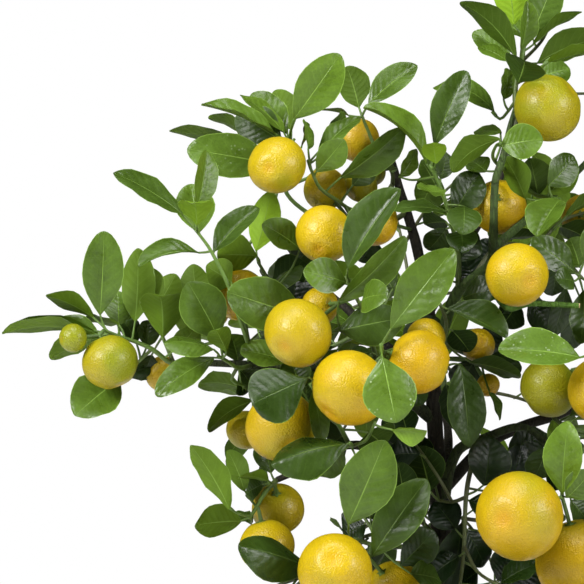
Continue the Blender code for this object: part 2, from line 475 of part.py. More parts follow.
# Bunches: the spray or limb that carries each, the point where the stalks meet and the fruits
PHOTO_BUNCHES = {
    "fruit_far_left": ("spray_far_left", (99, 335, -48), [Fruit((73, 338), 14.5, -55),
            Fruit((110, 362), 28.3, -50)]),
    "fruit_left_shaded": ("spray_far_left", (177, 374, -29), [Fruit((163, 374), 18, -14)]),
    "fruit_left": ("limb", (250, 352, -30), [Fruit((240, 295), 27, -34)]),
    "fruit_upper_left": ("spray_upper_left", (290, 184, -34), [Fruit((277, 165), 29.5, -42)]),
    "fruit_upper_pair": ("spray_top_middle", (354, 225, -22), [Fruit((325, 189), 22, -10),
            Fruit((324, 234), 29, -54)]),
    "fruit_top_middle": ("spray_top_middle", (384, 164, 8), [Fruit((361, 186), 17, -1),
            Fruit((372, 172), 14, 21), Fruit((358, 140), 22, 28)]),
    "fruit_behind_leaf": ("limb", (398, 226, -12), [Fruit((374, 222), 24, -40)]),
    "fruit_middle_pair": ("spray_centre_left", (342, 302, -62), [Fruit((320, 306), 19, -48),
            Fruit((298, 333), 35, -77)]),
    "fruit_centre": ("spray_centre", (386, 352, -76), [Fruit((350, 388), 39, -85),
            Fruit((419, 362), 32.5, -76), Fruit((426, 338), 20, -46)]),
    "fruit_lower_left_pair": ("spray_lower_left", (262, 397, -30), [Fruit((281, 426), 36, -50),
            Fruit((246, 430), 20, -14)]),
    "fruit_hanging_upper": ("spray_hanging_left", (275, 484, -30), [Fruit((278, 509), 26.5, -16)]),
    "fruit_hanging_lower": ("spray_hanging_left", (258, 508, -42), [Fruit((267, 546), 28, -42)]),
    "fruit_low_front": ("spray_lower_front", (369, 556, -56), [Fruit((335, 571), 38, -84),
            Fruit((394, 588), 28, -42)]),
    "fruit_dark_centre": ("limb", (418, 490, -18), [Fruit((402, 486), 18, -22)]),
    "fruit_top_right": ("limb", (512, 136, -32), [Fruit((547.5, 108), 34.5, -40)]),
    "fruit_right_upper": ("limb", (494, 192, -30), [Fruit((499, 207), 27.5, -10)]),
    "fruit_right_middle": ("limb", (489, 262, -32), [Fruit((517, 275), 32, -61)]),
    "fruit_right_edge": ("spray_right_inner", (580, 214, 0), [Fruit((584, 217), 23, 12)]),
    "fruit_right_pair": ("spray_right_lower", (574, 370, -48), [Fruit((549, 388), 30, -48),
            Fruit((601, 390), 34, -72)]),
    "fruit_right_shaded": ("limb", (470, 360, 14), [Fruit((478, 345), 17, -8), Fruit((488, 385), 12, 4)]),
    "fruit_low_right_pair": ("spray_right_lower", (562, 496, -64),
            [Fruit((519.5, 516), 45, -90), Fruit((580, 562), 45, -60)]),
}

# Bunches out of the photograph, in mm: carrier, meeting point, then each fruit's centre and radius
GROWN_BUNCHES = {
    "fruit_right_front": ("spray_right", (170, -48, 430), (((160, -78, 412), 19), ((196, -62, 412), 17))),
    "fruit_right_side": ("spray_right", (182, 14, 486), (((206, -16, 486), 18), ((192, 36, 486), 16))),
    "fruit_back": ("spray_back", (-22, 142, 416), (((-4, 158, 412), 17), ((-42, 158, 397), 17))),
    "fruit_back_left": ("spray_left_back", (-113, 124, 463), (((-122, 110, 442), 12),
            ((-104, 134, 450), 14))),
    "fruit_low_left": ("spray_low", (-76, 14, 296), (((-66, 34, 268), 18), ((-92, -8, 276), 19))),
    "fruit_low_right": ("spray_low_right", (140, -8, 310), (((150, -32, 292), 19), ((128, 12, 284), 18))),
    "fruit_back_right": ("spray_back_right", (120, 104, 446), (((136, 120, 420), 19),
            ((110, 142, 442), 18))),
    "fruit_low_front_pair": ("spray_low_front", (20, -103, 262), (((12, -110, 236), 19),
            ((54, -104, 238), 18))),
}


def material(name, colour, roughness):
    """A plain material with the piece's colour."""
    made = bpy.data.materials.new(name)
    made.use_nodes = True
    shader = made.node_tree.nodes["Principled BSDF"]
    shader.inputs["Base Color"].default_value = (*colour, 1)
    shader.inputs["Roughness"].default_value = roughness
    shader.inputs["Metallic"].default_value = 0
    return made


def new_object(name, mesh, collection):
    """An object that holds a mesh, in a collection."""
    made = bpy.data.objects.new(name, mesh)
    collection.objects.link(made)
    return made


def mesh_of(name, points, faces):
    """A mesh with its faces pointing out."""
    mesh = bpy.data.meshes.new(name)
    mesh.from_pydata([tuple(point) for point in points], [], faces)
    shape = bmesh.new()
    shape.from_mesh(mesh)
    if shape.calc_volume(signed=True) < 0:
        bmesh.ops.reverse_faces(shape, faces=shape.faces[:])
    shape.to_mesh(mesh)
    shape.free()
    return mesh


def turned(name, profile, collection):
    """A solid turned about Z from its profile of (radius, height), which runs down its outer side."""
    mesh = bpy.data.meshes.new(name)
    edges = [(i, i + 1) for i in range(len(profile) - 1)]
    mesh.from_pydata([(radius, 0, height) for radius, height in profile], edges, [])
    made = new_object(name, mesh, collection)
    screw = made.modifiers.new("turn", "SCREW")
    screw.steps = POT_SIDES
    screw.render_steps = POT_SIDES
    screw.use_merge_vertices = True
    screw.merge_threshold = 0.00001
    screw.use_smooth_shade = False
    return made


def tube(name, points, thick, thin, collection, sides=4):
    """A tapered round stem along points, as a mesh object with closed ends."""
    curve = bpy.data.curves.new(name, "CURVE")
    curve.dimensions = "3D"
    curve.bevel_depth = 1
    curve.bevel_resolution = {4: 0, 6: 1, 8: 2}[sides]
    curve.use_fill_caps = True
    spline = curve.splines.new("POLY")
    spline.points.add(len(points) - 1)
    for index, point in enumerate(points):
        share = index / (len(points) - 1)
        spline.points[index].co = (*point, 1)
        spline.points[index].radius = thick + (thin - thick) * share
    guide = new_object(name + "_curve", curve, collection)
    mesh = bpy.data.meshes.new_from_object(guide.evaluated_get(bpy.context.evaluated_depsgraph_get()))
    shape = bmesh.new()
    shape.from_mesh(mesh)
    bmesh.ops.remove_doubles(shape, verts=shape.verts[:], dist=0.00001)
    shape.to_mesh(mesh)
    shape.free()
    made = new_object(name, mesh, collection)
    made.matrix_world = guide.matrix_world
    bpy.data.objects.remove(guide)
    return made


def bodies_of(shape):
    """The separate bodies of a mesh, each as the set of its faces."""
    bodies = []
    unvisited = set(shape.faces)
    while unvisited:
        body = {unvisited.pop()}
        front = list(body)
        while front:
            for edge in front.pop().edges:
                for face in edge.link_faces:
                    if face in unvisited:
                        unvisited.discard(face)
                        body.add(face)
                        front.append(face)
        bodies.append(body)
    return bodies


def is_sound(shape):
    """Whether a mesh is one closed body."""
    parts = [*shape.verts, *shape.edges]
    if not all(part.is_manifold for part in parts) or len(bodies_of(shape)) > 1:
        return False
    shape.faces.ensure_lookup_table()
    tree = BVHTree.FromBMesh(shape)
    return all(set(shape.faces[one].verts) & set(shape.faces[other].verts) for one,
         other in tree.overlap(tree))


def tidied(shape):
    """A copy of a mesh without the extra points and slivers that a union leaves, if it stays sound."""
    for distance, angle in ((MERGED_POINTS, FLAT_ANGLE), (0, FLAT_ANGLE), (0, FLAT_ANGLE / 10)):
        made = shape.copy()
        bmesh.ops.remove_doubles(made, verts=made.verts[:], dist=distance)
        bmesh.ops.dissolve_limit(made, angle_limit=angle, verts=made.verts[:], edges=made.edges[:])
        bmesh.ops.triangulate(made, faces=made.faces[:], ngon_method="EAR_CLIP")
        if is_sound(made):
            return made
        made.free()
    return shape


def largest_body(mesh):
    """Keep the outer shell of a fused mesh: sealed hollows are filled and loose scraps dropped."""
    shape = bmesh.new()
    shape.from_mesh(mesh)
    keep = max(bodies_of(shape),
               key=lambda body: spread_of([vert.co for face in body for vert in face.verts]))
    bmesh.ops.delete(shape, geom=[face for face in shape.faces if face not in keep], context="FACES")
    bmesh.ops.triangulate(shape, faces=shape.faces[:])
    tidied(shape).to_mesh(mesh)


def spread_of(points):
    """The diagonal of the box around some points."""
    low = Vector([min(point[axis] for point in points) for axis in range(3)])
    high = Vector([max(point[axis] for point in points) for axis in range(3)])
    return (high - low).length


def fuse(name, objects, collection):
    """Join overlapping solids into one body with one Boolean union on a collection.

    The MANIFOLD solver does it: EXACT is slow on this many stalks and leaves open edges.
    """
    first, *others = objects
    if others:
        joined = bpy.data.collections.new(name + "_repeats")
        bpy.context.scene.collection.children.link(joined)
        for other in others:
            collection.objects.unlink(other)
            joined.objects.link(other)
        union = first.modifiers.new("join", "BOOLEAN")
        union.operation = "UNION"
        union.operand_type = "COLLECTION"
        union.collection = joined
        union.solver = "MANIFOLD"
        bpy.context.view_layer.update()
        mesh = bpy.data.meshes.new_from_object(first.evaluated_get(bpy.context.evaluated_depsgraph_get()))
        first.modifiers.clear()
        first.data = mesh
        for other in others:
            bpy.data.objects.remove(other)
        bpy.data.collections.remove(joined)
    largest_body(first.data)
    first.name = name
    first.data.name = name
    return first


def profile_at(t):
    """Half the blade's breadth at a share t of its length, as a share of its widest."""
    return max(math.sin(math.pi * t ** BLADE_SKEW), 0) ** BLADE_BLUNTNESS


def blade_section(blade, t):
    """A point on the midrib with the directions of each half and of the upper side there."""
    along = blade.tip - blade.base
    length = along.length
    axis = along / length
    slope = (axis + blade.up * (4 * blade.arch * (1 - 2 * t))).normalized()
    across = axis.cross(blade.up).normalized()
    upper = across.cross(slope).normalized()
    point = blade.base + along * t + blade.up * (length * blade.arch * 4 * t * (1 - t))
    rise = upper * math.sin(math.radians(blade.fold))
    out = across * math.cos(math.radians(blade.fold))
    return point, out + rise, rise - out, upper, math.cos(math.radians(blade.fold))


def blade_ring(blade, t, thick, margin):
    """Four points round the blade at a share of its length: left edge, top, right edge and underside."""
    point, right, left, upper, lean = blade_section(blade, t)
    half = blade.width / 2 * profile_at(t) + margin
    middle_up = upper * (thick / 2 / lean)
    return [point + left * half, point + middle_up, point + right * half, point - middle_up]


def leaf_solid(blade, grow=0.0):
    """Points and faces of a leaf on its stalk, or of the space round it when it grows."""
    radius = PETIOLE_RADIUS + grow
    thick = BLADE_THICK + 2 * grow
    stalk = (blade.base - blade.root).normalized()
    upper = (blade.up - stalk * blade.up.dot(stalk)).normalized()
    side = stalk.cross(upper)
    side *= math.sqrt(3)
    corners = [(upper - side) * radius / 2, (upper + side) * radius / 2, -upper * radius]
    bend = (stalk + (blade.tip - blade.base).normalized()).normalized()
    points = [blade.root + corner for corner in corners]
    points += [blade.base + corner - stalk * (corner.dot(bend) / stalk.dot(bend)) for corner in corners]
    for t in BLADE_STATIONS:
        points += blade_ring(blade, t, thick, grow)
    points.append(blade.tip + (blade.tip - blade.base).normalized() * grow)
    faces = [(2, 1, 0)]
    for i in range(3):
        j = (i + 1) % 3
        faces += [(i, j, 3 + j), (i, 3 + j, 3 + i)]
    a, b, end = 6, 10, 14
    faces += [(3, a + 1, a), (3, 4, a + 1), (4, a + 2, a + 1), (4, 5, a + 2), (5, a + 3, a + 2), (5, a,
         a + 3),
              (5, 3, a)]
    for i in range(4):
        j = (i + 1) % 4
        faces += [(a + i, a + j, b + i), (a + j, b + j, b + i), (b + i, b + j, end)]
    return points, faces


def nearest_on(routes, point):
    """The nearest point to a point on any of some routes."""
    best = None
    for route in routes:
        for start, end in zip(route, route[1:]):
            step = end - start
            share = max(0, min(1, (point - start).dot(step) / step.length_squared))
            foot = start + step * share
            if best is None or (point - foot).length < (point - best).length:
                best = foot
    return best


def shortened(routes):
    """Routes without their last bit at both ends, so that what roots on them sits well inside."""
    made = []
    for route in routes:
        first = route[0] + (route[1] - route[0]).normalized() * ROOT_INSET
        last = route[-1] + (route[-2] - route[-1]).normalized() * ROOT_INSET
        made.append([first, *route[1:-1], last])
    return made


def tree_of(mesh):
    """A mesh's faces, ready to be searched."""
    return BVHTree.FromPolygons([vertex.co.copy() for vertex in mesh.vertices],
                                [tuple(face.vertices) for face in mesh.polygons])


class Crown:
    """What has been placed so far, so that what comes next can be bent clear of it."""

    def __init__(self):
        self.solids = []
        self.shapes = []
        self.fruits = []

    def add(self, node, points, faces, blade=False):
        """Remember a solid of a node."""
        low = Vector([min(point[axis] for point in points) for axis in range(3)])
        high = Vector([max(point[axis] for point in points) for axis in range(3)])
        self.solids.append((node, blade, low, high, BVHTree.FromPolygons(points, faces)))
        self.shapes.append((points, faces))

    def add_object(self, node, made):
        """Remember an object of a node."""
        self.add(node, [vertex.co.copy() for vertex in made.data.vertices],
                 [tuple(face.vertices) for face in made.data.polygons])

    def as_one(self):
        """The faces of everything placed so far, ready to be searched."""
        points = []
        faces = []
        for shape_points, shape_faces in self.shapes:
            faces += [[index + len(points) for index in face] for face in shape_faces]
            points += shape_points
        return BVHTree.FromPolygons(points, faces)

    def is_clear(self, node, points, faces, own_blades=True):
        """Whether a solid keeps clear of other nodes, and where asked of the blades of its own."""
        low = Vector([min(point[axis] for point in points) for axis in range(3)])
        high = Vector([max(point[axis] for point in points) for axis in range(3)])
        for centre, radius in self.fruits:
            if any((point - centre).length < radius + GAP for point in points):
                return False
        own = None
        for other, blade, other_low, other_high, faces_there in self.solids:
            if other == node and not (blade and own_blades):
                continue
            if any(high[axis] < other_low[axis] or low[axis] > other_high[axis] for axis in range(3)):
                continue
            if own is None:
                own = BVHTree.FromPolygons(points, faces)
            if own.overlap(faces_there):
                return False
        return True


def clear_of_fruits(crown, point):
    """A point moved in depth, so that a stem through it passes beside the fruits."""
    for centre, radius in crown.fruits:
        away = point - centre
        beside = math.hypot(away.x, away.z)
        reach = radius + STEM_CLEARANCE
        if away.length < reach:
            depth = math.sqrt(max(reach * reach - beside * beside, 0))
            point = Vector((point.x, centre.y + math.copysign(depth, away.y), point.z))
    return point


def start_beside(route, radius, trees):
    """A route whose first point is moved on until its first stretch stands just clear of what carries it."""
    total = (route[1] - route[0]).length
    axis = (route[1] - route[0]) / total
    side = axis.orthogonal().normalized() * (radius + GAP) * math.sqrt(2)
    other = axis.cross(side)
    corners = [side, other, -side, -other]
    faces = [(0, 1, 2, 3), (7, 6, 5, 4)] + [(i, (i + 1) % 4, (i + 1) % 4 + 4, i + 4) for i in range(4)]

    def is_clear(travelled):
        start = route[0] + axis * (travelled - GAP)
        points = [start + corner for corner in corners] + [route[1] + corner for corner in corners]
        space = BVHTree.FromPolygons(points, faces)
        return outside_by(start, trees) > GAP and not any(space.overlap(tree) for tree in trees)

    travelled = 0.0
    while travelled < total - MM and not is_clear(travelled):
        travelled += GAP / 2
    return [route[0] + axis * travelled, *route[1:]]


def outside_by(point, trees):
    """How far a point lies outside some solids, or minus 1 inside one."""
    nearest = 1.0
    for tree in trees:
        found, normal, _, distance = tree.find_nearest(point)
        if (point - found).dot(normal) < 0:
            return -1.0
        nearest = min(nearest, distance)
    return nearest


def build_pot(collection):
    """The turned clay pot, closed at the foot."""
    rim_foot = POT_HEIGHT - POT_RIM_DEPTH
    shoulder = POT_HEIGHT - POT_RIM_ROUND * math.sin(math.pi / 3)
    profile = [(0, POT_FLOOR), (POT_FLOOR_RADIUS, POT_FLOOR), (POT_INNER_RADIUS, rim_foot),
               (POT_INNER_RADIUS, shoulder)]
    middle = (POT_RIM_RADIUS + POT_INNER_RADIUS) / 2
    for angle in (math.pi / 3, 2 * math.pi / 3):
        radius = middle - POT_RIM_THICK / 2 * math.cos(angle)
        profile.append((radius, shoulder + POT_RIM_ROUND * math.sin(angle)))
    profile += [(POT_RIM_RADIUS, shoulder), (POT_RIM_RADIUS, rim_foot + POT_CHAMFER),
                (POT_RIM_RADIUS - POT_CHAMFER, rim_foot), (POT_NECK_RADIUS, rim_foot - POT_CHAMFER / 2),
                (POT_FOOT_RADIUS, POT_CHAMFER), (POT_FOOT_RADIUS - POT_CHAMFER, 0), (0, 0)]
    pot = turned("pot", profile, collection)
    pot.data.materials.append(material("terracotta", TERRACOTTA, 0.85))


def pot_inside(height):
    """The pot's inner radius at a height."""
    share = (height - POT_FLOOR) / (POT_HEIGHT - POT_RIM_DEPTH - POT_FLOOR)
    return POT_FLOOR_RADIUS + (POT_INNER_RADIUS - POT_FLOOR_RADIUS) * min(share, 1)


def build_soil(collection):
    """The soil, with a plain blind hole for the trunk's foot."""
    hole_bottom = SOIL_TOP - TRUNK_HOLE_DEPTH
    straight = POT_HEIGHT - POT_RIM_DEPTH
    profile = [(0, hole_bottom), (TRUNK_HOLE_RADIUS, hole_bottom),
               (TRUNK_HOLE_RADIUS, SOIL_TOP + SOIL_MOUND), (POT_RIM_RADIUS / 2, SOIL_TOP + SOIL_MOUND / 2),
               (pot_inside(SOIL_TOP) - GAP, SOIL_TOP - SOIL_MOUND / 2),
                      (pot_inside(straight) - GAP, straight),
               (pot_inside(POT_FLOOR) - GAP, POT_FLOOR + GAP), (0, POT_FLOOR + GAP)]
    soil = turned("soil", profile, collection)
    soil.data.materials.append(material("potting_soil", SOIL_BROWN, 0.95))


def build_wood(collection, crown):
    """The trunk and its limbs, grown as one piece."""
    pieces = []
    routes = {}
    for name, (points, thick, thin) in LIMBS.items():
        route = [at(*point) for point in points]
        if name == "trunk":
            route[0] = Vector((0, 0, SOIL_TOP - TRUNK_HOLE_DEPTH + GAP))
        routes[name] = route
        sides = 8 if name == "trunk" else 6
        pieces.append(tube("limb_" + name, route, thick * MM, thin * MM, collection, sides))
    wood = fuse("wood", pieces, collection)
    wood.data.materials.clear()
    wood.data.materials.append(material("bark", BARK_BROWN, 0.8))
    crown.add_object("wood", wood)
    return wood, routes


def photo_blade(leaf, routes, shift, twist):
    """A leaf of the photograph in space, moved in depth and turned a little to clear its neighbours."""
    base = seen(*leaf.base, leaf.depth + shift)
    tip = seen(*leaf.tip, leaf.depth + leaf.lean + shift)
    axis = (tip - base).normalized()
    view = (EYE - (base + tip) / 2).normalized()
    facing = (view - axis * view.dot(axis)).normalized()
    across = axis.cross(facing)
    lead = across.z if abs(across.z) > abs(across.x) else across.x
    if lead < 0:
        across = -across
    angle = math.radians(leaf.turn + twist)
    up = facing * math.cos(angle) + across * math.sin(angle)
    width = leaf.width * METRES_PER_PIXEL * (VIEW_DISTANCE + leaf.depth * MM) / VIEW_DISTANCE
    root = nearest_on(shortened(routes), base - axis * PETIOLE_LENGTH)
    return Blade(root, base, tip, up, width, leaf.fold, leaf.arch)


def place_blade(crown, node, blade, collection, own_blades=True):
    """Add a leaf to its spray if it is clear of everything else."""
    if (blade.base - blade.root).length < SHORTEST_PETIOLE:
        return None
    bend = (blade.base - blade.root).normalized().dot((blade.tip - blade.base).normalized())
    if bend < SHARPEST_BEND:
        return None
    space = leaf_solid(blade, GAP)
    if not crown.is_clear(node, *space, own_blades):
        return None
    points, faces = leaf_solid(blade)
    tree = BVHTree.FromPolygons(points, faces)
    if any(not set(faces[one]) & set(faces[other]) for one, other in tree.overlap(tree)):
        return None
    crown.add(node, points, faces, blade=True)
    return new_object(node + "_leaf", mesh_of(node + "_leaf", points, faces), collection)


def photo_choices(leaf, routes):
    """A leaf of the photograph where it is drawn, then moved in depth or turned a little."""
    for twist in TWIST_TRIES:
        for shift in DEPTH_TRIES:
            yield photo_blade(leaf, routes, shift, twist)


def photo_leaves(crown, node, leaves, routes, collection):
    """The leaves of a spray that the photograph shows."""
    placed = []
    for leaf in leaves:
        choices = [(own, blade) for own in (True, False) for blade in photo_choices(leaf, routes)]
        for own_blades, blade in choices:
            made = place_blade(crown, node, blade, collection, own_blades)
            if made:
                placed.append(made)
                break
    return placed


def twig_tubes(crown, node, routes, radii, wood_tree, collection):
    """The twigs of a spray: the first stands clear of the wood, the others grow from earlier ones."""
    tubes = []
    drawn = []
    for route, (thick, thin) in zip(routes, radii):
        route = [route[0]] + [clear_of_fruits(crown, point) for point in route[1:]]
        if drawn:
            route[0] = nearest_on(drawn, route[0])
        else:
            whole = route
            route = start_beside(route, thick, [wood_tree])
        drawn.append(route)
        made = tube(node + "_twig", route, thick, thin, collection)
        crown.add_object(node, made)
        tubes.append(made)
    return tubes, drawn, whole


def outside_photo(point):
    """Whether a point is out of the photograph's frame."""
    column, row = pixel_of(point)
    edge = PHOTO_SIDE + PHOTO_MARGIN
    return column > edge or row > edge or row < -PHOTO_MARGIN


def is_hidden(blade, front):
    """Whether a leaf lies out of the photograph, or behind what the photograph shows."""
    outline = [point for t in OUTLINE_STATIONS for point in blade_ring(blade, t, BLADE_THICK, 0)[:3]]
    for point in (blade.base, blade.tip, *outline):
        if outside_photo(point):
            continue
        column, row = pixel_of(point)
        full = any(math.hypot(column - c, row - r) < reach for c, r, reach in FULL_PLACES)
        if full and point.y > FULL_DEPTH:
            continue
        sight = point - EYE
        if not front.ray_cast(EYE, sight.normalized(), sight.length - SIGHT_MARGIN)[0]:
            return False
    return True


def grown_blade(dice, route, travelled, turn, length):
    """A leaf that stands off its twig and turns its face up to the light."""
    total = sum((end - start).length for start, end in zip(route, route[1:]))
    left = min(travelled, total - ROOT_INSET)
    for start, end in zip(route, route[1:]):
        step = (end - start).length
        if left <= step:
            break
        left -= step
    axis = (end - start).normalized()
    root = start + axis * left
    side = axis.orthogonal().normalized()
    radial = side * math.cos(turn) + axis.cross(side) * math.sin(turn)
    opening = math.radians(dice.uniform(*LEAF_OPENING)) * (1 - LEAF_CLOSING * travelled / total)
    heading = axis * math.cos(opening) + radial * math.sin(opening)
    heading = (heading + Vector((0, 0, LEAF_RISE))).normalized()
    base = root + heading * dice.uniform(*PETIOLE_LIFT)
    drooping = (heading + Vector((0, 0, -dice.uniform(*LEAF_DROOP)))).normalized()
    tip = base + drooping * length
    outward = Vector((root.x, root.y, 0)).normalized()
    scatter = Vector([dice.uniform(-LEAF_SCATTER, LEAF_SCATTER) for _ in range(3)])
    wish = Vector((0, 0, LEAF_FACING_UP)) + outward * LEAF_FACING_OUT + scatter
    up = (wish - drooping * wish.dot(drooping)).normalized()
    width = length * dice.uniform(*LEAF_RATIO)
    return Blade(root, base, tip, up, width, dice.uniform(*LEAF_FOLD), dice.uniform(*LEAF_ARCH))


def grown_choices(node, number, index, route):
    """The places that a leaf may take on a grown twig, the best first."""
    first_turn = random.Random(f"{node} {number}").uniform(0, 2 * math.pi)
    dice = random.Random(f"{node} {number} {index}")
    for size in SIZE_TRIES:
        for nudge in TURN_TRIES:
            turn = first_turn + index * PHYLLOTAXIS + nudge
            length = dice.uniform(*LEAF_LENGTH) * size
            yield grown_blade(dice, route, FIRST_LEAF + index * LEAF_SPACING, turn, length)


def grown_leaves(crown, node, drawn, whole, front, collection):
    """Leaves in a spiral along each twig, as large as they find room for.

    whole is the first twig's route before its start was moved clear of the wood: leaves are counted
    along it, and those that would stand on the missing bit are left out.
    """
    placed = []
    skipped = (drawn[0][0] - whole[0]).length + 2 * ROOT_INSET
    for number, route in enumerate([whole, *drawn[1:]]):
        total = sum((end - start).length for start, end in zip(route, route[1:]))
        for index in range(int((total - ROOT_INSET - FIRST_LEAF) / LEAF_SPACING) + 1):
            if number == 0 and FIRST_LEAF + index * LEAF_SPACING < skipped:
                continue
            for blade in grown_choices(node, number, index, route):
                made = place_blade(crown, node, blade, collection) if is_hidden(blade, front) else None
                if made:
                    placed.append(made)
                    break
    return placed


def fruit_solid(name, centre, radius, axis, collection):
    """A slightly flattened fruit on its axis."""
    mesh = bpy.data.meshes.new(name)
    shape = bmesh.new()
    turn = axis.to_track_quat("Z", "Y").to_matrix().to_4x4()
    place = Matrix.Translation(centre) @ turn @ Matrix.Diagonal((1, 1, FRUIT_FLATTENING, 1))
    bmesh.ops.create_uvsphere(shape, u_segments=FRUIT_SIDES, v_segments=FRUIT_RINGS, radius=radius,
                              matrix=place)
    shape.to_mesh(mesh)
    shape.free()
    return new_object(name, mesh, collection)


def fruit_place(fruit):
    """A fruit's centre and radius in metres."""
    if isinstance(fruit, Fruit):
        spread = METRES_PER_PIXEL * (VIEW_DISTANCE + fruit.depth * MM) / VIEW_DISTANCE
        return seen(*fruit.centre, fruit.depth), fruit.radius * spread
    centre, radius = fruit
    return at(*centre), radius * MM


def build_bunch(name, bunch, carriers, trees, crown, skin, collection):
    """A bunch: its fruits on stalks that meet beside the twig that carries them."""
    carrier, meeting, fruits = bunch
    joint = seen(*meeting) if isinstance(fruits[0], Fruit) else at(*meeting)
    fruits = [fruit_place(fruit) for fruit in fruits]
    foot = nearest_on(shortened(carriers[carrier]), joint)
    middle = sum((centre for centre, _ in fruits), Vector()) / len(fruits)
    if (joint - foot).length < STALK_MINIMUM / 2:
        joint = foot + (middle - foot).normalized() * STALK_MINIMUM
    start = start_beside([foot, joint], STALK_RADIUS, trees)[0]
    joint = start + (joint - foot).normalized() * max((joint - start).length, STALK_MINIMUM / 2)
    if len(fruits) == 1:
        joint = start
    pieces = []
    for index, (centre, radius) in enumerate(fruits):
        axis = (joint - centre).normalized()
        aside = axis.orthogonal().normalized() * GAP
        entry = centre + axis * radius * STALK_DEPTH + aside
        route = [joint, entry]
        thick = STALK_RADIUS
        if len(fruits) > 1 and index == 0:
            route = [start, joint, entry]
        elif index > 0:
            thick = STALK_RADIUS * 0.7
        pieces.append(fruit_solid(name + "_fruit", centre, radius, axis, collection))
        pieces.append(tube(name + "_stalk", route, thick, STALK_RADIUS, collection))
    made = fuse(name, pieces, collection)
    made.data.materials.clear()
    made.data.materials.append(skin)
    crown.add_object(name, made)


def photo_twigs(twigs):
    """The routes and radii of a spray's twigs in metres."""
    routes = [[seen(*point) for point in twig.route] for twig in twigs]
    return routes, [(twig.thick * MM, twig.thin * MM) for twig in twigs]


def grown_twigs(twigs):
    """The routes and radii of a grown spray's twigs in metres."""
    routes = [[at(*point) for point in route] for route in twigs]
    return routes, [(0.0014, 0.0008)] + [(0.0011, 0.0007)] * (len(twigs) - 1)


def build():
    """The whole tree."""
    for old in list(bpy.data.objects):
        bpy.data.objects.remove(old)
    collection = bpy.data.collections.new(COLLECTION)
    bpy.context.scene.collection.children.link(collection)
    crown = Crown()
    build_pot(collection)
    build_soil(collection)
    wood, limbs = build_wood(collection, crown)
    wood_tree = tree_of(wood.data)
    limb_routes = list(limbs.values())
    bunches = {**PHOTO_BUNCHES, **GROWN_BUNCHES}
    crown.fruits = [fruit_place(fruit) for _, _, fruits in bunches.values() for fruit in fruits]

    sprays = {}
    carriers = {"limb": limb_routes}
    trees = {"limb": [wood_tree]}
    plans = {name: photo_twigs(twigs) for name, (twigs, _) in PHOTO_SPRAYS.items()}
    plans.update({name: grown_twigs(twigs) for name, twigs in GROWN_SPRAYS.items()})
    for name, (routes, radii) in plans.items():
        routes[0][0] = nearest_on(limb_routes, routes[0][0])
        tubes, drawn, whole = twig_tubes(crown, name, routes, radii, wood_tree, collection)
        sprays[name] = (tubes, drawn, whole)
        carriers[name] = drawn
        trees[name] = [wood_tree] + [tree_of(made.data) for made in tubes]

    skin = material("fruit_skin", FRUIT_ORANGE, 0.4)
    for name, bunch in bunches.items():
        build_bunch(name, bunch, carriers, trees[bunch[0]], crown, skin, collection)

    leaves = {name: photo_leaves(crown, name, shown, sprays[name][1], collection)
              for name, (_, shown) in PHOTO_SPRAYS.items()}
    front = crown.as_one()
    for name in GROWN_SPRAYS:
        leaves[name] = grown_leaves(crown, name, *sprays[name][1:], front, collection)
    green = material("leaf", LEAF_GREEN, 0.45)
    for name, (tubes, _, _) in sprays.items():
        made = fuse(name, tubes + leaves[name], collection)
        made.data.materials.clear()
        made.data.materials.append(green)


build()
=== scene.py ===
"""Looks of a potted calamondin tree: glossy leaves, round orange fruit, bark, soil and a clay pot.

Metres, +Z up. The front of the tree faces -Y. Twigs, limbs, fruits and the leaves that the solids hold take
their places from the same tables as the solids: each such leaf is found again in them and gets its fine
blade there. Smaller leaves, which only the looks have, fill the crown between and behind them.
"""
import math
import random
from typing import NamedTuple

import bpy
import numpy as np
from mathutils import Matrix, Vector, noise
from mathutils.bvhtree import BVHTree


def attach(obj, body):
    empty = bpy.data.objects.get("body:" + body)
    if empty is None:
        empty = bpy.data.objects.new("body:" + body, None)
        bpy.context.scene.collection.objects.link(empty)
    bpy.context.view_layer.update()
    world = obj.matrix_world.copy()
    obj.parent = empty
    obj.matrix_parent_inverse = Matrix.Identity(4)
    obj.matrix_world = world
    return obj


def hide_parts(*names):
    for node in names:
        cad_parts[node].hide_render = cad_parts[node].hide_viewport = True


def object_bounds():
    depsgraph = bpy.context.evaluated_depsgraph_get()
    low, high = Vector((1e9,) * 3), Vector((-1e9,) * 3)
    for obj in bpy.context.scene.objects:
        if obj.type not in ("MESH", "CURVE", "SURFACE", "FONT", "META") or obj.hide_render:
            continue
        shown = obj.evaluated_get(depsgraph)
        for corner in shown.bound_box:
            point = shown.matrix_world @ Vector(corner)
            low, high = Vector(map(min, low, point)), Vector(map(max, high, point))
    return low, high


bl_info = {
    "name": "Potted Calamondin Tree",
    "version": (1, 0, 0),
    "blender": (4, 5, 0),
    "location": "View3D > Sidebar > Tree",
    "description": "Builds the leaves, fruit, bark, soil and pot of a small potted citrus tree",
    "category": "Add Mesh",
}

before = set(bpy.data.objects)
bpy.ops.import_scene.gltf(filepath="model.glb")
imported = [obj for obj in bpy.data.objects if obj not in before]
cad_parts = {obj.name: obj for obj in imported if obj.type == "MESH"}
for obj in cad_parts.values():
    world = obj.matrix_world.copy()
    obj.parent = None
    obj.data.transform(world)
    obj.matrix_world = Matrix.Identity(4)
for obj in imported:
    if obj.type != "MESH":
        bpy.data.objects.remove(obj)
CAD_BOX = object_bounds()
ROOT = "root"
MM = 0.001
GAP = 0.0003
TINY = 1e-9

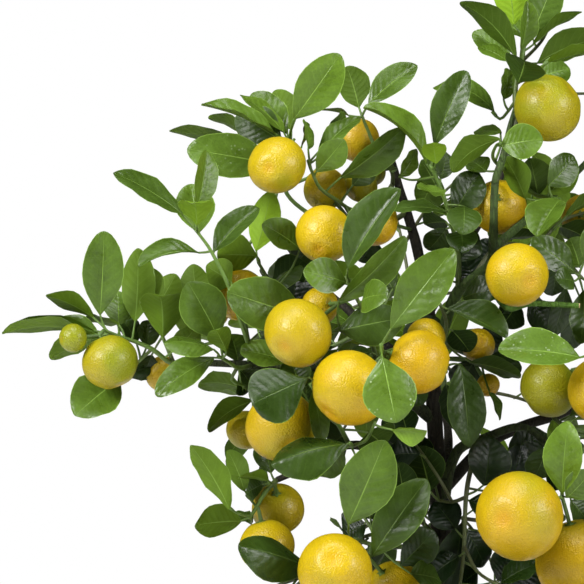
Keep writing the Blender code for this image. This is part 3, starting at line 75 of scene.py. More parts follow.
# How the photograph sees the tree: a level view along +Y, with the trunk at column 437
PHOTO_SIDE = 584
METRES_PER_PIXEL = 0.00052
TRUNK_COLUMN = 437
PHOTO_BOTTOM_HEIGHT = 0.300
VIEW_DISTANCE = 1.7
EYE = Vector(((PHOTO_SIDE / 2 - TRUNK_COLUMN) * METRES_PER_PIXEL, -VIEW_DISTANCE,
              PHOTO_BOTTOM_HEIGHT + PHOTO_SIDE / 2 * METRES_PER_PIXEL))

# The pot and its soil
POT_HEIGHT = 0.165
POT_RIM_RADIUS = 0.100
POT_RIM_DEPTH = 0.028
POT_FOOT_RADIUS = 0.068
POT_FLOOR = 0.009
POT_FLOOR_RADIUS = 0.0625
POT_INNER_RADIUS = 0.0885
POT_NECK_RADIUS = POT_RIM_RADIUS - 0.006
POT_INNER_STRAIGHT = 0.010
POT_RIM_SLOPE = 0.0008
RIM_ROUNDING = 0.0048
POT_ROUNDINGS = (RIM_ROUNDING, RIM_ROUNDING, 0.0022, 0.0012, 0.0026)
POT_SIDES = 96
SOIL_TOP = 0.150
SOIL_MOUND = 0.004
TRUNK_HOLE_RADIUS = 0.0094
TRUNK_HOLE_DEPTH = 0.040
SOIL_SIDES = 150
SOIL_RINGS = 46
SOIL_SINK = 0.0012
SOIL_EDGE_DEPTH = 0.012
CRUMB_COUNT = 900
CRUMB_SPREAD = (0.03, 0.94)
CRUMB_SIZE = (0.0007, 0.0021)
CRUMB_MARGIN = 0.004
CRUMB_SINK = 0.0008

# The clods of the soil's top, of two sizes: the noise's shift, height and scale
SOIL_CLODS = ((0, 0.0011, 260), (7, 0.0018, 90))

# Leaves, stalks and fruits
BLADE_THICK = 0.0011
PETIOLE_LENGTH = 0.006
BLADE_STATIONS = (0.27, 0.70)
OUTLINE_STATIONS = (0.13, 0.27, 0.42, 0.56, 0.70, 0.85)
FIRST_LEAF = 0.014
LEAF_SPACING = 0.0220
ROOT_INSET = 0.0016
STEM_CLEARANCE = 0.0024
LEAF_LENGTH = (0.036, 0.050)
LEAF_RATIO = (0.50, 0.58)
PHYLLOTAXIS = math.radians(137.5)
SIZE_TRIES = (1.0, 0.9, 0.78)
TURN_TRIES = (0, 0.35, -0.35, 0.8, -0.8, 1.3, -1.3)
DEPTH_TRIES = (0, -3, 3, -6, 6, -9, 9, -12, 12, -15, 15, -18, 18, -21, 21)
TWIST_TRIES = (0, 10, -10)
BLADE_SKEW = 1.08
BLADE_BLUNTNESS = 0.72
PETIOLE_LIFT = (0.006, 0.009)
LEAF_OPENING = (42, 62)
LEAF_CLOSING = 0.35
LEAF_RISE = 0.12
LEAF_DROOP = (0.0, 0.35)
LEAF_FACING_UP = 0.8
LEAF_FACING_OUT = 0.55
LEAF_SCATTER = 0.3
LEAF_FOLD = (8, 20)
LEAF_ARCH = (0.03, 0.10)
SIGHT_MARGIN = 0.002
FULL_DEPTH = 0.012
PHOTO_MARGIN = 6
FRUIT_FLATTENING = 0.93

# Fine leaves: their rows and columns of points, their outline, waves, twist and stalks
BLADE_ROWS = 12
ROW_START = 0.06
ROW_SPAN = 0.88
BLADE_COLUMNS = (-1.0, -0.86, -0.55, -0.22, 0.0, 0.22, 0.55, 0.86, 1.0)
BLADE_TAPER = 0.86
SKEW_RANGE = (1.02, 1.20)
BLUNT_RANGE = (0.52, 0.66)
WAVE_COUNT = (1.5, 3.0)
WAVE_HEIGHT = (0.25, 0.75)
BLADE_TWIST = 0.12
TWIST_MIDDLE = 0.4
BLADE_CUPPING = (0.02, 0.10)
FINE_THICKNESS = 0.0003
SCALLOP_DEPTH = 0.012
SCALLOP_PACE = 44
SCALLOPED_FROM = 0.9
STALK_RADII = (0.0007, 0.0005)
STALK_BEND = 0.05
STALK_OVERLAP = 0.0008

# Twigs that are grown, the knots of every stem and the cut end of the stub
FIRST_TWIG_RADII = (0.0014, 0.0008)
SIDE_TWIG_RADII = (0.0011, 0.0007)
KNOT_REACH = 0.004
KNOT_SCALE = 70
CUT_DEPTH = 0.0010
CUT_HEIGHT = 0.0006

# How leaves of the solids are found again, and the smaller leaves that fill the crown
FOUND_WITHIN = 0.00012
FOUND_SHARE = 0.6
FEWEST_HELD = 200
EXTRA_LEAF_LENGTH = (0.028, 0.046)
EXTRA_START = 0.006
EXTRA_SPACING = 0.0075
EXTRA_TRIES = 5
EXTRA_SHRINKING = 0.9
EXTRA_TURN = 1.1

# Numbers of a spray's leaves: held ones from 0, then the listed ones and those that fill the crown
TWIG_NUMBERS = 100
PLACED_NUMBERS = 500
FILLER_NUMBERS = 1000

# Where a material stands in its piece: leafy ones, fruit bunches (with the same stalks) and the wood
UPPER_SLOT = 0
UNDER_SLOT = 1
STALK_SLOT = 2
PEEL_SLOT = 0
CALYX_SLOT = 1
BARK_SLOT = 0
CUT_SLOT = 1

# How light and young a leaf looks by its place in the crown: leaves deep in it get painted shade
CROWN_WIDTH = 0.17
CROWN_DEPTH = 0.12
CROWN_HEIGHT = 0.13
CROWN_HEART_HEIGHT = 0.44
# Within this share of the crown's reach a leaf gets the darkest painted shade
PAINTED_SHADE_HEART = 0.15
LIGHTENING_REACH = 0.75
LIGHTEST_TONE = 0.85
TONE_SCATTER = (-0.16, 0.10)
YOUNG_REACH = 0.6
YOUTH_SCATTER = (0.0, 0.12)

# Fine fruits: hollows, collars and stain are (height, angle of the crest, width), bumps (height, scale)
FRUIT_COLUMNS = 60
FRUIT_ROWS = 32
STALK_DIMPLE = (0.07, 0, 0.24)
NAVEL_DIMPLE = (0.085, 0, 0.21)
STALK_COLLAR = (0.018, 0.42, 0.18)
NAVEL_COLLAR = (0.022, 0.48, 0.17)
NAVEL_STAIN = (1, 0, 0.20)
FRUIT_BUMPS = (0.012, 1.6)
FRUIT_RIPPLES = (0.003, 9)
RIPENESS = (0.45, 1.0)
# Painted shade and light: how much deeper the orange is below a fruit's middle and brighter above it
UNDERSIDE_PAINTED_SHADE = 0.35
PATCHINESS = 0.2
STAIN_DEPTH = 0.5
STAIN_YELLOWING = 0.3
SIDE_GREENING = 0.65
FRUIT_STALK_RADII = (0.0009, 0.0011)
STALK_REACH = 0.88
STALK_RISE = 0.001
JOINT_OVERRUN = 0.1
CALYX_TOP = 0.0011
CALYX_FOOT = 0.0008
CALYX_LOBE = (0.0034, 0.0006)
CALYX_NOTCH = (0.0019, 0.0004)
CALYX_FRUIT_RADIUS = 0.016

# The stage
FLOOR_RINGS = (0.4, 0.8, 1.6, 3.2)
FLOOR_SIDES = 96
FLOOR_GAP = 0.0002
FLOOR_SHADE = 0.985
FLOOR_FADE = (0.30, 0.95)
LAMP_AIM = Vector((0.0, 0.0, 0.42))
SENSOR_WIDTH = 36.0
CAMERA_REACH = 50


class Leaf(NamedTuple):
    """One leaf as the photograph shows it.

    base and tip are the ends of its blade in pixels, and width is across the blade in pixels. turn is
    how far the upper face is turned from the eye in degrees (0 towards it, 90 edge on, 180 away), and
    it turns upwards, or to the right on an upright leaf. depth is how far the base lies behind the
    trunk in millimetres, and lean how much further the tip lies. fold lifts both halves, in degrees,
    and arch bows the midrib, as a share of the blade's length.
    """
    base: tuple
    tip: tuple
    width: float
    turn: float
    depth: float
    lean: float = 0
    fold: float = 12
    arch: float = 0.05


class Twig(NamedTuple):
    """One twig: its route as (column, row, depth in mm) and its radii at both ends in mm."""
    route: tuple
    thick: float = 1.3
    thin: float = 0.8


class Fruit(NamedTuple):
    """One fruit: its centre in pixels, its radius in pixels and its depth in mm."""
    centre: tuple
    radius: float
    depth: float


class Blade(NamedTuple):
    """One leaf in space: where its stalk leaves the twig, its blade's ends and its upper direction."""
    root: Vector
    base: Vector
    tip: Vector
    up: Vector
    width: float
    fold: float
    arch: float


def seen(column, row, depth):
    """The point that the photograph shows at a pixel, at a depth in mm behind the trunk."""
    y = depth * MM
    spread = (VIEW_DISTANCE + y) / VIEW_DISTANCE * METRES_PER_PIXEL
    return Vector((EYE.x + (column - PHOTO_SIDE / 2) * spread, y,
                   EYE.z - (row - PHOTO_SIDE / 2) * spread))


def pixel_of(point):
    """The pixel of the photograph that shows a point."""
    spread = (VIEW_DISTANCE + point.y) / VIEW_DISTANCE * METRES_PER_PIXEL
    return (PHOTO_SIDE / 2 + (point.x - EYE.x) / spread, PHOTO_SIDE / 2 - (point.z - EYE.z) / spread)


def at(x, y, z):
    """A point given in millimetres."""
    return Vector((x, y, z)) * MM


# The trunk and its limbs as (x, y, z) in mm with a radius at each end
LIMBS = {
    "trunk": (((0, 0, 112), (1, 0, 170), (-2, 1, 235), (3, 3, 300), (1, 5, 350), (-2, 5, 405),
               (-4, 7, 440), (-10, 10, 475), (-17, 14, 500), (-26, 20, 530)), 9.0, 1.8),
    "left": (((-1, 5, 385), (-32, -8, 408), (-58, -16, 413), (-88, -24, 414), (-105, -28, 415),
              (-124, -32, 416)), 3.6, 1.7),
    "lower_left": (((1, 4, 345), (-20, -8, 365), (-35, -22, 372), (-50, -32, 373), (-66, -36, 364),
                    (-83, -32, 356)), 3.2, 1.6),
    "leader": (((-2, 5, 410), (4, -2, 435), (11, -10, 453), (20, -20, 461), (26, -32, 467),
                (27, -38, 482), (28, -38, 508), (32, -34, 520), (36, -30, 536), (39, -28, 546)), 3.4, 1.4),
    "right": (((2, 4, 335), (10, 0, 368), (24, -6, 376), (44, -14, 382), (58, -30, 371),
               (66, -46, 366)), 3.2, 1.5),
    "right_back": (((0, 5, 345), (26, 16, 371), (46, 24, 381), (72, 34, 390), (100, 32, 418), (122, 26, 442)),
                   3.4, 1.8),
    "back": (((0, 4, 340), (8, 45, 372), (6, 90, 396)), 3.2, 1.8),
    "left_back": (((-2, 6, 400), (-34, 50, 432), (-66, 88, 462), (-88, 112, 492)), 2.8, 1.3),
    "high_back": (((-4, 8, 440), (14, 36, 470), (34, 60, 505), (46, 76, 540)), 2.4, 1.2),
    "low_front": (((2, 2, 262), (8, -30, 276), (14, -58, 280), (18, -78, 276)), 2.6, 1.4),
    "right_high": (((27, -34, 474), (58, -6, 500), (88, 8, 530), (108, 14, 556)), 2.2, 1.2),
    "pruned_stub": (((24, -26, 463), (33, -42, 444), (45, -52, 446), (69, -54, 445)), 1.7, 1.4),
}


PHOTO_SPRAYS = {
    "spray_far_left": (
        [Twig(((199, 365, -32), (174, 364, -34), (152, 349, -37), (136, 342, -38), (118, 336, -41),
               (104, 330, -45)), 1.6, 0.8),
         Twig(((152, 349, -37), (134, 366, -30), (116, 382, -30)), 1.0, 0.7),
         Twig(((174, 364, -34), (167, 347, -33), (160, 330, -30), (158, 318, -26)), 1.1, 0.8),
         Twig(((182, 364, -33), (194, 345, -24), (200, 318, -20)), 1.0, 0.7)],
        [Leaf((100, 316), (104, 231), 44, 8, -44, -6, 16, 0.03),
         Leaf((94, 318), (46, 295), 38, 122, -48, -8, 14, 0.06),
         Leaf((95, 335), (2, 334), 46, 98, -42, -4, 22, 0.09), Leaf((100, 337), (50, 359), 38, 124, -34, 10),
         Leaf((120, 325), (84, 322), 30, 110, -36, 14, 10), Leaf((135, 322), (138, 248), 38, 160, -38, 6),
         Leaf((122, 324), (165, 286), 34, 128, -30, 10, 20, 0.08),
         Leaf((119, 380), (75, 416), 54, 24, -32, -14, 18, 0.04),
         Leaf((163, 338), (160, 296), 50, 172, -36, -22, 20, 0.16),
         Leaf((152, 314), (176, 274), 34, 160, -24, 6), Leaf((196, 300), (193, 264), 30, 178, -18, 8, 10),
         Leaf((156, 304), (150, 268), 24, 150, -14, 8, 14),
         Leaf((172, 352), (196, 326), 34, 40, -40, -6, 10, 0.06)]),
    "spray_left_middle": (
        [Twig(((252, 366, -25), (238, 368, -38), (227, 361, -46), (218, 356, -52)), 1.3, 0.9),
         Twig(((236, 367, -38), (232, 380, -34), (246, 386, -28)), 1.0, 0.7)],
        [Leaf((219, 340), (188, 282), 50, 10, -48, -4, 12, 0.06),
         Leaf((215, 350), (164, 343), 38, 58, -56, -6, -10, 0.08),
         Leaf((227, 352), (216, 330), 26, 176, -54, -14, 16, 0.12),
         Leaf((215, 357), (156, 396), 36, 32, -58, -8, 14, 0.07),
         Leaf((247, 391), (201, 383), 36, 122, -30, 6, 12, 0.10),
         Leaf((240, 396), (198, 387), 34, 118, -16, 8, 12, 0.12)]),
    "spray_left_shoot": (
        [Twig(((262, 366, -23), (252, 352, -44), (240, 320, -58), (228, 285, -62), (218, 264, -62),
               (208, 246, -61), (194, 228, -60)), 1.5, 0.8)],
        [Leaf((184, 216), (113, 173), 40, 52, -62, -8, 16),
         Leaf((196, 212), (206, 150), 34, 40, -58, 6, 24, 0.04),
         Leaf((199, 233), (190, 184), 42, 12, -50, 8, 14),
         Leaf((197, 226), (194, 203), 38, 172, -64, -26, 14, 0.14),
         Leaf((200, 253), (139, 267), 44, 64, -64, -6, 28, 0.11),
         Leaf((213, 253), (259, 208), 36, 36, -54, 8, 28), Leaf((232, 282), (206, 266), 34, 168, -44, 12)]),
    "spray_round_leaf": (
        [Twig(((318, 369, -15), (308, 342, -34), (296, 310, -36), (272, 284, -34),
               (258, 262, -36)), 1.4, 0.8)],
        [Leaf((258, 256), (217, 255), 46, 150, -36, -2),
         Leaf((256, 252), (271, 191), 34, 172, -30, 4, 18, 0.08),
         Leaf((301, 250), (262, 224), 36, 30, -44, -6, 20, 0.06),
         Leaf((304, 318), (227, 292), 54, 8, -55, -17, 8), Leaf((270, 290), (300, 262), 36, 30, -22, 6),
         Leaf((262, 275), (290, 300), 34, 150, -14, 6), Leaf((286, 362), (240, 351), 42, 52, -36, -4, 10)]),
    "spray_upper_left": (
        [Twig(((402, 214, 13), (372, 232, -4), (342, 236, -24), (312, 216, -24), (287, 194, -20),
               (281, 165, -19), (290, 139, -22)), 1.5, 0.9)],
        [Leaf((240, 144), (169, 131), 36, 112, -8, 4, 12, 0.03),
         Leaf((277, 135), (201, 105), 38, 70, -28, -4, 30), Leaf((285, 134), (240, 95), 30, 62, -18, 4, 14),
         Leaf((288, 134), (252, 93), 36, 28, -12, 6), Leaf((292, 130), (275, 90), 34, 165, -4, 8),
         Leaf((280, 166), (187, 149), 46, 12, -16, -2, 10, 0.04),
         Leaf((293, 120), (340, 54), 45, 8, -30, -4, 12, 0.04),
         Leaf((252, 138), (208, 118), 34, 112, 2, 6, 12, 0.08),
         Leaf((300, 150), (305, 122), 24, 80, -26, -8)]),
    "spray_top_middle": (
        [Twig(((398, 178, 16), (372, 212, 8), (352, 210, -8), (338, 201, -26), (320, 188, -36),
               (312, 172, -40), (308, 160, -42)), 1.4, 0.8),
         Twig(((402, 192, 15), (392, 172, 10), (378, 153, 8), (366, 126, 6), (361, 113, 4)), 1.2, 0.8)],
        [Leaf((308, 150), (304, 120), 26, 70, -42, 8), Leaf((350, 116), (320, 110), 30, 96, 2, -6, 10),
         Leaf((359, 108), (347, 66), 36, 160, 2, 4, 14), Leaf((368, 105), (417, 65), 36, 34, 2, 4, 20),
         Leaf((318, 158), (360, 118), 32, 52, -34, 6, 18, 0.08),
         Leaf((316, 172), (344, 139), 32, 18, -42, -4), Leaf((340, 178), (404, 127), 42, -34, -34, -4, 30),
         Leaf((397, 168), (371, 174), 30, 104, 2, -4, 10), Leaf((352, 186), (373, 160), 28, 20, -14, 8),
         Leaf((320, 150), (344, 112), 34, 58, -24, 10)]),
    "spray_centre_left": (
        [Twig(((380, 376, -7), (374, 350, -42), (366, 318, -58), (357, 299, -66), (350, 286, -68),
               (346, 276, -70)), 1.5, 0.9),
         Twig(((366, 318, -58), (350, 322, -58), (334, 331, -58), (328, 334, -57)), 1.0, 0.7)],
        [Leaf((347, 270), (401, 189), 58, -38, -74, -6, 34),
         Leaf((338, 301), (405, 236), 42, -34, -80, -4, 28, 0.06),
         Leaf((347, 283), (303, 271), 38, 18, -66, -10, 12, 0.06),
         Leaf((393, 290), (376, 262), 30, 24, -46, -2, 14),
         Leaf((362, 302), (389, 295), 36, 30, -62, -22, 10, 0.12),
         Leaf((338, 331), (405, 318), 46, 12, -62, 0, -8, 0.06),
         Leaf((372, 300), (394, 272), 30, 30, -42, 4, 10), Leaf((357, 292), (372, 268), 26, 60, -52, 10)]),
    "spray_centre": (
        [Twig(((416, 393, 4), (396, 372, -42), (383, 356, -70), (381, 345, -92)), 1.5, 1.1)],
        [Leaf((390, 330), (454, 249), 50, -6, -94, -8, 14),
         Leaf((382, 356), (396, 423), 56, 4, -116, -4, -8), Leaf((404, 346), (438, 318), 36, 40, -50, 10),
         Leaf((372, 352), (336, 364), 34, 70, -46, 10), Leaf((400, 380), (424, 404), 30, 20, -44, -4)]),
    "spray_lower_left": (
        [Twig(((352, 440, -30), (338, 424, -58), (322, 402, -76), (310, 384, -84)), 1.4, 0.9),
         Twig(((352, 440, -30), (352, 446, -60), (350, 443, -84)), 1.2, 0.9),
         Twig(((338, 424, -58), (300, 398, -32), (262, 396, -24), (250, 400, -24)), 1.1, 0.8),
         Twig(((352, 446, -60), (366, 440, -76), (375, 422, -90)), 1.0, 0.8)],
        [Leaf((311, 377), (252, 404), 62, 14, -86, -6, -8, 0.04),
         Leaf((254, 400), (208, 431), 38, 126, -34, -8, 12, 0.10),
         Leaf((250, 424), (226, 458), 28, 150, -4, 2),
         Leaf((348, 444), (271, 465), 56, 34, -84, -4, -22, 0.08),
         Leaf((344, 450), (318, 476), 30, 20, -66, 12, 10), Leaf((300, 388), (290, 360), 34, 20, -44, 8),
         Leaf((391, 430), (427, 431), 36, -48, -92, -4, 38, -0.05),
         Leaf((312, 388), (321, 443), 28, 40, -66, 0, 12, 0.04)]),
    "spray_hanging_left": (
        [Twig(((277, 480, -32), (266, 491, -39), (256, 508, -42), (249, 519, -44)), 1.4, 0.9)],
        [Leaf((230, 510), (191, 445), 40, 138, -52, -6, 14),
         Leaf((245, 492), (228, 450), 28, 146, -40, 8, 14),
         Leaf((269, 481), (240, 477), 32, 112, -42, -10, 12, 0.08),
         Leaf((264, 484), (246, 494), 26, 30, -30, 8),
         Leaf((242, 521), (195, 525), 46, 140, -52, -8, 12, 0.04),
         Leaf((252, 524), (236, 512), 20, 40, -38, 12), Leaf((271, 474), (262, 440), 30, 18, -22, 4)]),
    "spray_lower_front": (
        [Twig(((438, 540, 3), (408, 546, -24), (378, 546, -50), (354, 539, -62)), 1.6, 1.0),
         Twig(((378, 546, -50), (372, 530, -40), (362, 514, -34)), 1.1, 0.8),
         Twig(((408, 546, -24), (412, 566, -34), (420, 590, -40)), 1.0, 0.8),
         Twig(((354, 539, -62), (336, 552, -55), (318, 564, -55)), 1.0, 0.7)],
        [Leaf((312, 569), (238, 546), 54, 34, -57, -22, -20),
         Leaf((348, 525), (385, 440), 58, 10, -86, -4, 12, 0.04),
         Leaf((371, 558), (427, 479), 48, -10, -90, -4, 14), Leaf((374, 534), (396, 498), 34, 20, -42, 6),
         Leaf((346, 536), (330, 520), 24, 96, -60, 10), Leaf((400, 566), (434, 530), 40, 16, -52, 8),
         Leaf((404, 502), (398, 462), 34, 158, -30, 6), Leaf((410, 574), (440, 580), 36, 40, -52, 8)]),
    "spray_middle_shoot": (
        [Twig(((454, 291, -9), (458, 254, -22), (448, 210, -34), (439, 184, -38),
               (430, 164, -40)), 1.5, 0.9)],
        [Leaf((434, 147), (467, 71), 39, -20, -30, -4, 20),
         Leaf((427, 165), (363, 108), 50, 68, -34, -2, 32, 0.12),
         Leaf((436, 164), (433, 143), 26, 168, -46, -12, 14, 0.10),
         Leaf((398, 178), (417, 150), 22, 40, -16, 8), Leaf((436, 172), (420, 208), 40, 150, -26, 6),
         Leaf((446, 190), (417, 187), 30, 68, -48, -12, 10, -0.10),
         Leaf((452, 214), (479, 172), 38, 12, -26, 8, 10),
         Leaf((464, 206), (463, 235), 36, 6, -40, -18, 8, 0.10),
         Leaf((461, 230), (463, 253), 32, 4, -40, -18, 8, 0.10),
         Leaf((446, 212), (391, 211), 34, 66, -46, -4, 12, 0.08),
         Leaf((458, 262), (474, 230), 34, 30, -14, 8), Leaf((447, 228), (428, 250), 30, 20, -18, 8),
         Leaf((447, 222), (424, 224), 32, 130, -8, 10)]),
    "spray_leader_top": (
        [Twig(((516, 108, -28), (516, 84, -26), (522, 58, -22), (526, 36, -20), (530, 14, -18),
               (531, -8, -16)), 1.3, 0.8),
         Twig(((516, 84, -26), (532, 74, -36), (548, 62, -44)), 0.9, 0.7),
         Twig(((516, 100, -28), (506, 114, -20), (500, 119, -18), (492, 112, -14)), 0.9, 0.7)],
        [Leaf((516, 58), (460, 2), 40, 132, -30, -4, 14, 0.12), Leaf((512, 61), (473, 32), 32, 36, -24, 6),
         Leaf((508, 62), (478, 47), 28, 60, -34, 4), Leaf((514, 26), (508, -30), 38, 172, -16, -6),
         Leaf((521, 50), (527, 1), 28, 40, -30, -2, 30),
         Leaf((530, 39), (556, -24), 36, 8, -18, 2, 12, 0.04),
         Leaf((533, 45), (582, 12), 32, 108, -22, -4, 14, 0.06),
         Leaf((536, 64), (604, 38), 40, 142, -20, 8, 14, 0.10),
         Leaf((544, 64), (606, 50), 34, 112, -34, -4, 14),
         Leaf((518, 83), (524, 61), 46, 168, -34, -22, 14, 0.14), Leaf((526, 40), (500, 20), 32, 50, -8, 12),
         Leaf((495, 113), (433, 88), 36, 52, -10, 6, 12, 0.19),
         Leaf((503, 100), (507, 68), 28, 52, -24, 2, 20)]),
    "spray_leader_middle": (
        [Twig(((496, 172, -37), (501, 168, -26), (514, 176, -14), (534, 194, -12), (546, 197, -18),
               (560, 199, -30)), 1.3, 0.9),
         Twig(((501, 168, -26), (493, 158, -34), (496, 146, -52), (501, 143, -60)), 1.0, 0.8)],
        [Leaf((502, 133), (474, 132), 30, 66, -26, 6, 10, 0.04),
         Leaf((500, 139), (452, 172), 38, 130, -46, -2, 14, 0.14),
         Leaf((500, 146), (543, 139), 38, 14, -60, -4, 10, 0.06),
         Leaf((526, 200), (505, 157), 36, 140, -24, 4, 14), Leaf((486, 172), (470, 160), 30, 40, -20, 6),
         Leaf((560, 200), (537, 237), 48, -34, -42, -18, 32), Leaf((538, 196), (530, 158), 38, 164, -12, 6),
         Leaf((548, 194), (578, 167), 36, 156, -20, 4, 16), Leaf((548, 186), (574, 156), 34, 20, -4, 8)]),
    "spray_right_inner": (
        [Twig(((474, 291, -22), (500, 246, -8), (536, 250, -16), (566, 262, -34), (582, 278, -44)), 1.5, 0.9),
         Twig(((536, 250, -16), (560, 222, -4), (586, 212, 2)), 1.1, 0.8),
         Twig(((528, 249, -14), (524, 280, 6), (522, 300, 12)), 1.0, 0.8)],
        [Leaf((576, 274), (531, 239), 34, 24, -52, -6, 14), Leaf((502, 240), (538, 236), 28, 112, -6, 2),
         Leaf((518, 302), (502, 326), 36, 150, 8, 4), Leaf((528, 300), (548, 330), 36, 30, 10, 4),
         Leaf((583, 290), (580, 344), 36, 30, -56, -6, 14),
         Leaf((574, 282), (555, 279), 26, 30, -48, -10, 14, 0.08),
         Leaf((566, 216), (600, 196), 36, 110, -4, 4), Leaf((560, 226), (590, 240), 38, 130, 2, 4),
         Leaf((584, 262), (606, 224), 40, 20, -46, 2), Leaf((504, 244), (478, 262), 34, 20, -2, 6),
         Leaf((556, 262), (552, 296), 36, 30, -12, 6),
         Leaf((590, 284), (626, 292), 40, 60, -44, 4, 12, 0.08)]),
    "spray_right_centre": (
        [Twig(((437, 372, 5), (443, 345, -18), (446, 322, -34), (440, 304, -49)), 1.4, 0.9),
         Twig(((440, 358, -7), (445, 364, -36), (446, 372, -52)), 1.2, 0.9),
         Twig(((443, 345, -18), (460, 352, 2), (484, 362, 6)), 1.1, 0.8)],
        [Leaf((463, 298), (498, 292), 36, 26, -44, -10, 12, 0.12),
         Leaf((447, 309), (507, 338), 48, 48, -50, -4, 38),
         Leaf((460, 363), (469, 447), 42, 16, -56, -6, 10, 0.06),
         Leaf((489, 392), (500, 420), 26, 70, -10, 4), Leaf((469, 362), (521, 377), 40, 116, -14, -4),
         Leaf((478, 350), (500, 326), 34, 30, 16, 8), Leaf((452, 330), (470, 352), 34, 150, -12, 8),
         Leaf((446, 384), (456, 430), 32, 150, -30, 4)]),
    "spray_right_lower": (
        [Twig(((565, 459, -46), (564, 472, -54), (562, 494, -66)), 1.4, 0.9),
         Twig(((564, 472, -54), (590, 440, -50), (598, 400, -40), (594, 358, -52),
                (587, 352, -74)), 1.2, 0.9)],
        [Leaf((581, 358), (498, 350), 52, 40, -86, -4, 22),
         Leaf((562, 494), (568, 421), 44, -22, -76, -6, 22),
         Leaf((556, 462), (552, 420), 26, 40, -62, 2, 18), Leaf((566, 498), (592, 470), 40, 30, -78, -4),
         Leaf((570, 500), (588, 524), 36, 40, -56, 4), Leaf((548, 446), (534, 478), 34, 20, -36, 8),
         Leaf((598, 352), (624, 322), 42, 20, -80, 2)]),
    "spray_low_centre": (
        [Twig(((484, 437, -7), (472, 466, -18), (466, 497, -24), (464, 546, -26), (460, 584, -30),
               (452, 616, -34)), 1.5, 0.8),
         Twig(((466, 497, -24), (452, 502, -18), (436, 500, -14)), 1.1, 0.9),
         Twig(((464, 546, -26), (478, 572, -40), (500, 586, -52)), 1.0, 0.8),
         Twig(((452, 502, -18), (440, 480, -24), (424, 456, -22), (410, 438, -18)), 0.9, 0.7)],
        [Leaf((430, 492), (418, 446), 44, 160, -18, 4), Leaf((508, 490), (522, 444), 34, 24, -14, 4),
         Leaf((484, 486), (490, 437), 50, 24, -12, 6), Leaf((500, 584), (538, 564), 44, 56, -46, 2, 14),
         Leaf((456, 530), (434, 502), 38, 20, -20, 6), Leaf((462, 522), (450, 586), 46, 20, -8, 4),
         Leaf((460, 556), (428, 580), 40, 40, -24, 4), Leaf((466, 530), (484, 566), 36, 30, -6, 6),
         Leaf((496, 590), (520, 616), 40, 30, -54, -4),
         Leaf((456, 596), (424, 612), 40, 60, -36, -2, 12, 0.08),
         Leaf((468, 500), (500, 520), 40, 40, -20, 4), Leaf((412, 441), (382, 420), 38, 150, -16, 6),
         Leaf((420, 454), (388, 456), 38, 30, -14, 6), Leaf((408, 436), (400, 408), 30, 160, -20, 6)]),
}

# Sprays that grow outside the photograph or behind what it shows: routes of their twigs in mm
GROWN_SPRAYS = {
    "spray_right": (
        ((122, 26, 442), (134, 14, 446), (150, -14, 446), (168, -44, 436), (184, -74, 420)),
        ((150, -14, 446), (152, -40, 468), (154, -62, 492)),
        ((168, -44, 436), (192, -50, 448), (208, -56, 462)),
        ((134, 14, 446), (154, 16, 470), (172, 10, 492), (192, 2, 508)),
        ((154, 16, 470), (180, 26, 464), (206, 22, 456)),
        ((172, 10, 492), (166, -16, 518), (160, -34, 540))),
    "spray_right_top": (
        ((108, 14, 556), (116, 14, 568), (124, 12, 584), (130, 12, 602)),
        ((116, 14, 568), (138, 26, 566), (162, 36, 560)), ((119, 13, 574), (102, 44, 582), (92, 68, 588))),
    "spray_crown_top": (
        ((46, 76, 540), (46, 77, 552), (44, 76, 572), (36, 70, 600)),
        ((46, 77, 552), (72, 96, 560), (92, 112, 562)), ((46, 76, 546), (56, 94, 520), (62, 98, 490)),
        ((44, 76, 572), (62, 100, 590), (70, 118, 606))),
    "spray_back_right": (
        ((82, 30, 418), (104, 70, 434), (120, 106, 448), (130, 134, 458)),
        ((104, 70, 434), (136, 78, 426), (164, 84, 414)),
        ((120, 106, 448), (104, 130, 478), (96, 142, 500))),
    "spray_back": (
        ((6, 90, 396), (-4, 128, 424), (-8, 150, 450), (-12, 166, 478), (-18, 176, 504)),
        ((-8, 150, 450), (22, 168, 452), (50, 178, 458)),
        ((-9, 153, 455), (-38, 164, 444), (-64, 170, 432)),
        ((-4, 128, 424), (22, 146, 398), (34, 156, 366)),
        ((-1, 118, 417), (-32, 130, 394), (-54, 136, 364)),
        ((22, 146, 398), (58, 140, 390), (84, 138, 372)), ((-12, 166, 478), (0, 140, 498), (14, 118, 512))),
    "spray_left_back": (
        ((-88, 112, 492), (-84, 122, 508), (-82, 132, 524), (-74, 140, 538)),
        ((-85, 119, 502), (-98, 119, 480), (-112, 120, 465), (-124, 127, 452)),
        ((-84, 122, 508), (-66, 134, 516), (-50, 142, 523))),
    "spray_left_low": (
        ((-34, 50, 432), (-72, 66, 414), (-104, 76, 400)),
        ((-72, 66, 414), (-92, 96, 424), (-104, 120, 420)),
        ((-62, 62, 419), (-82, 40, 396), (-94, 24, 376))),
    "spray_low_front": (
        ((18, -78, 276), (22, -86, 270), (30, -98, 252), (34, -102, 234)),
        ((22, -86, 270), (-6, -94, 264), (-32, -96, 250)),
        ((25, -91, 263), (50, -90, 266), (78, -84, 258))),
    "spray_low_right": (
        ((62, 30, 386), (86, 4, 362), (122, -6, 334), (142, -10, 306)),
        ((86, 4, 362), (106, -34, 346), (118, -62, 328)), ((122, -6, 334), (140, 24, 322), (150, 50, 308))),
    "spray_low": (
        ((-1, 4, 322), (-14, 30, 334), (-36, 52, 326), (-58, 64, 300)),
        ((-14, 30, 334), (16, 62, 330), (40, 74, 292)), ((16, 62, 330), (60, 70, 322), (100, 76, 302)),
        ((-9, 20, 330), (-46, 14, 320), (-80, 14, 292)), ((-38, 14, 322), (-54, -30, 312), (-62, -66, 290)),
        ((-58, -30, 312), (-90, -22, 298), (-116, -24, 280))),
}

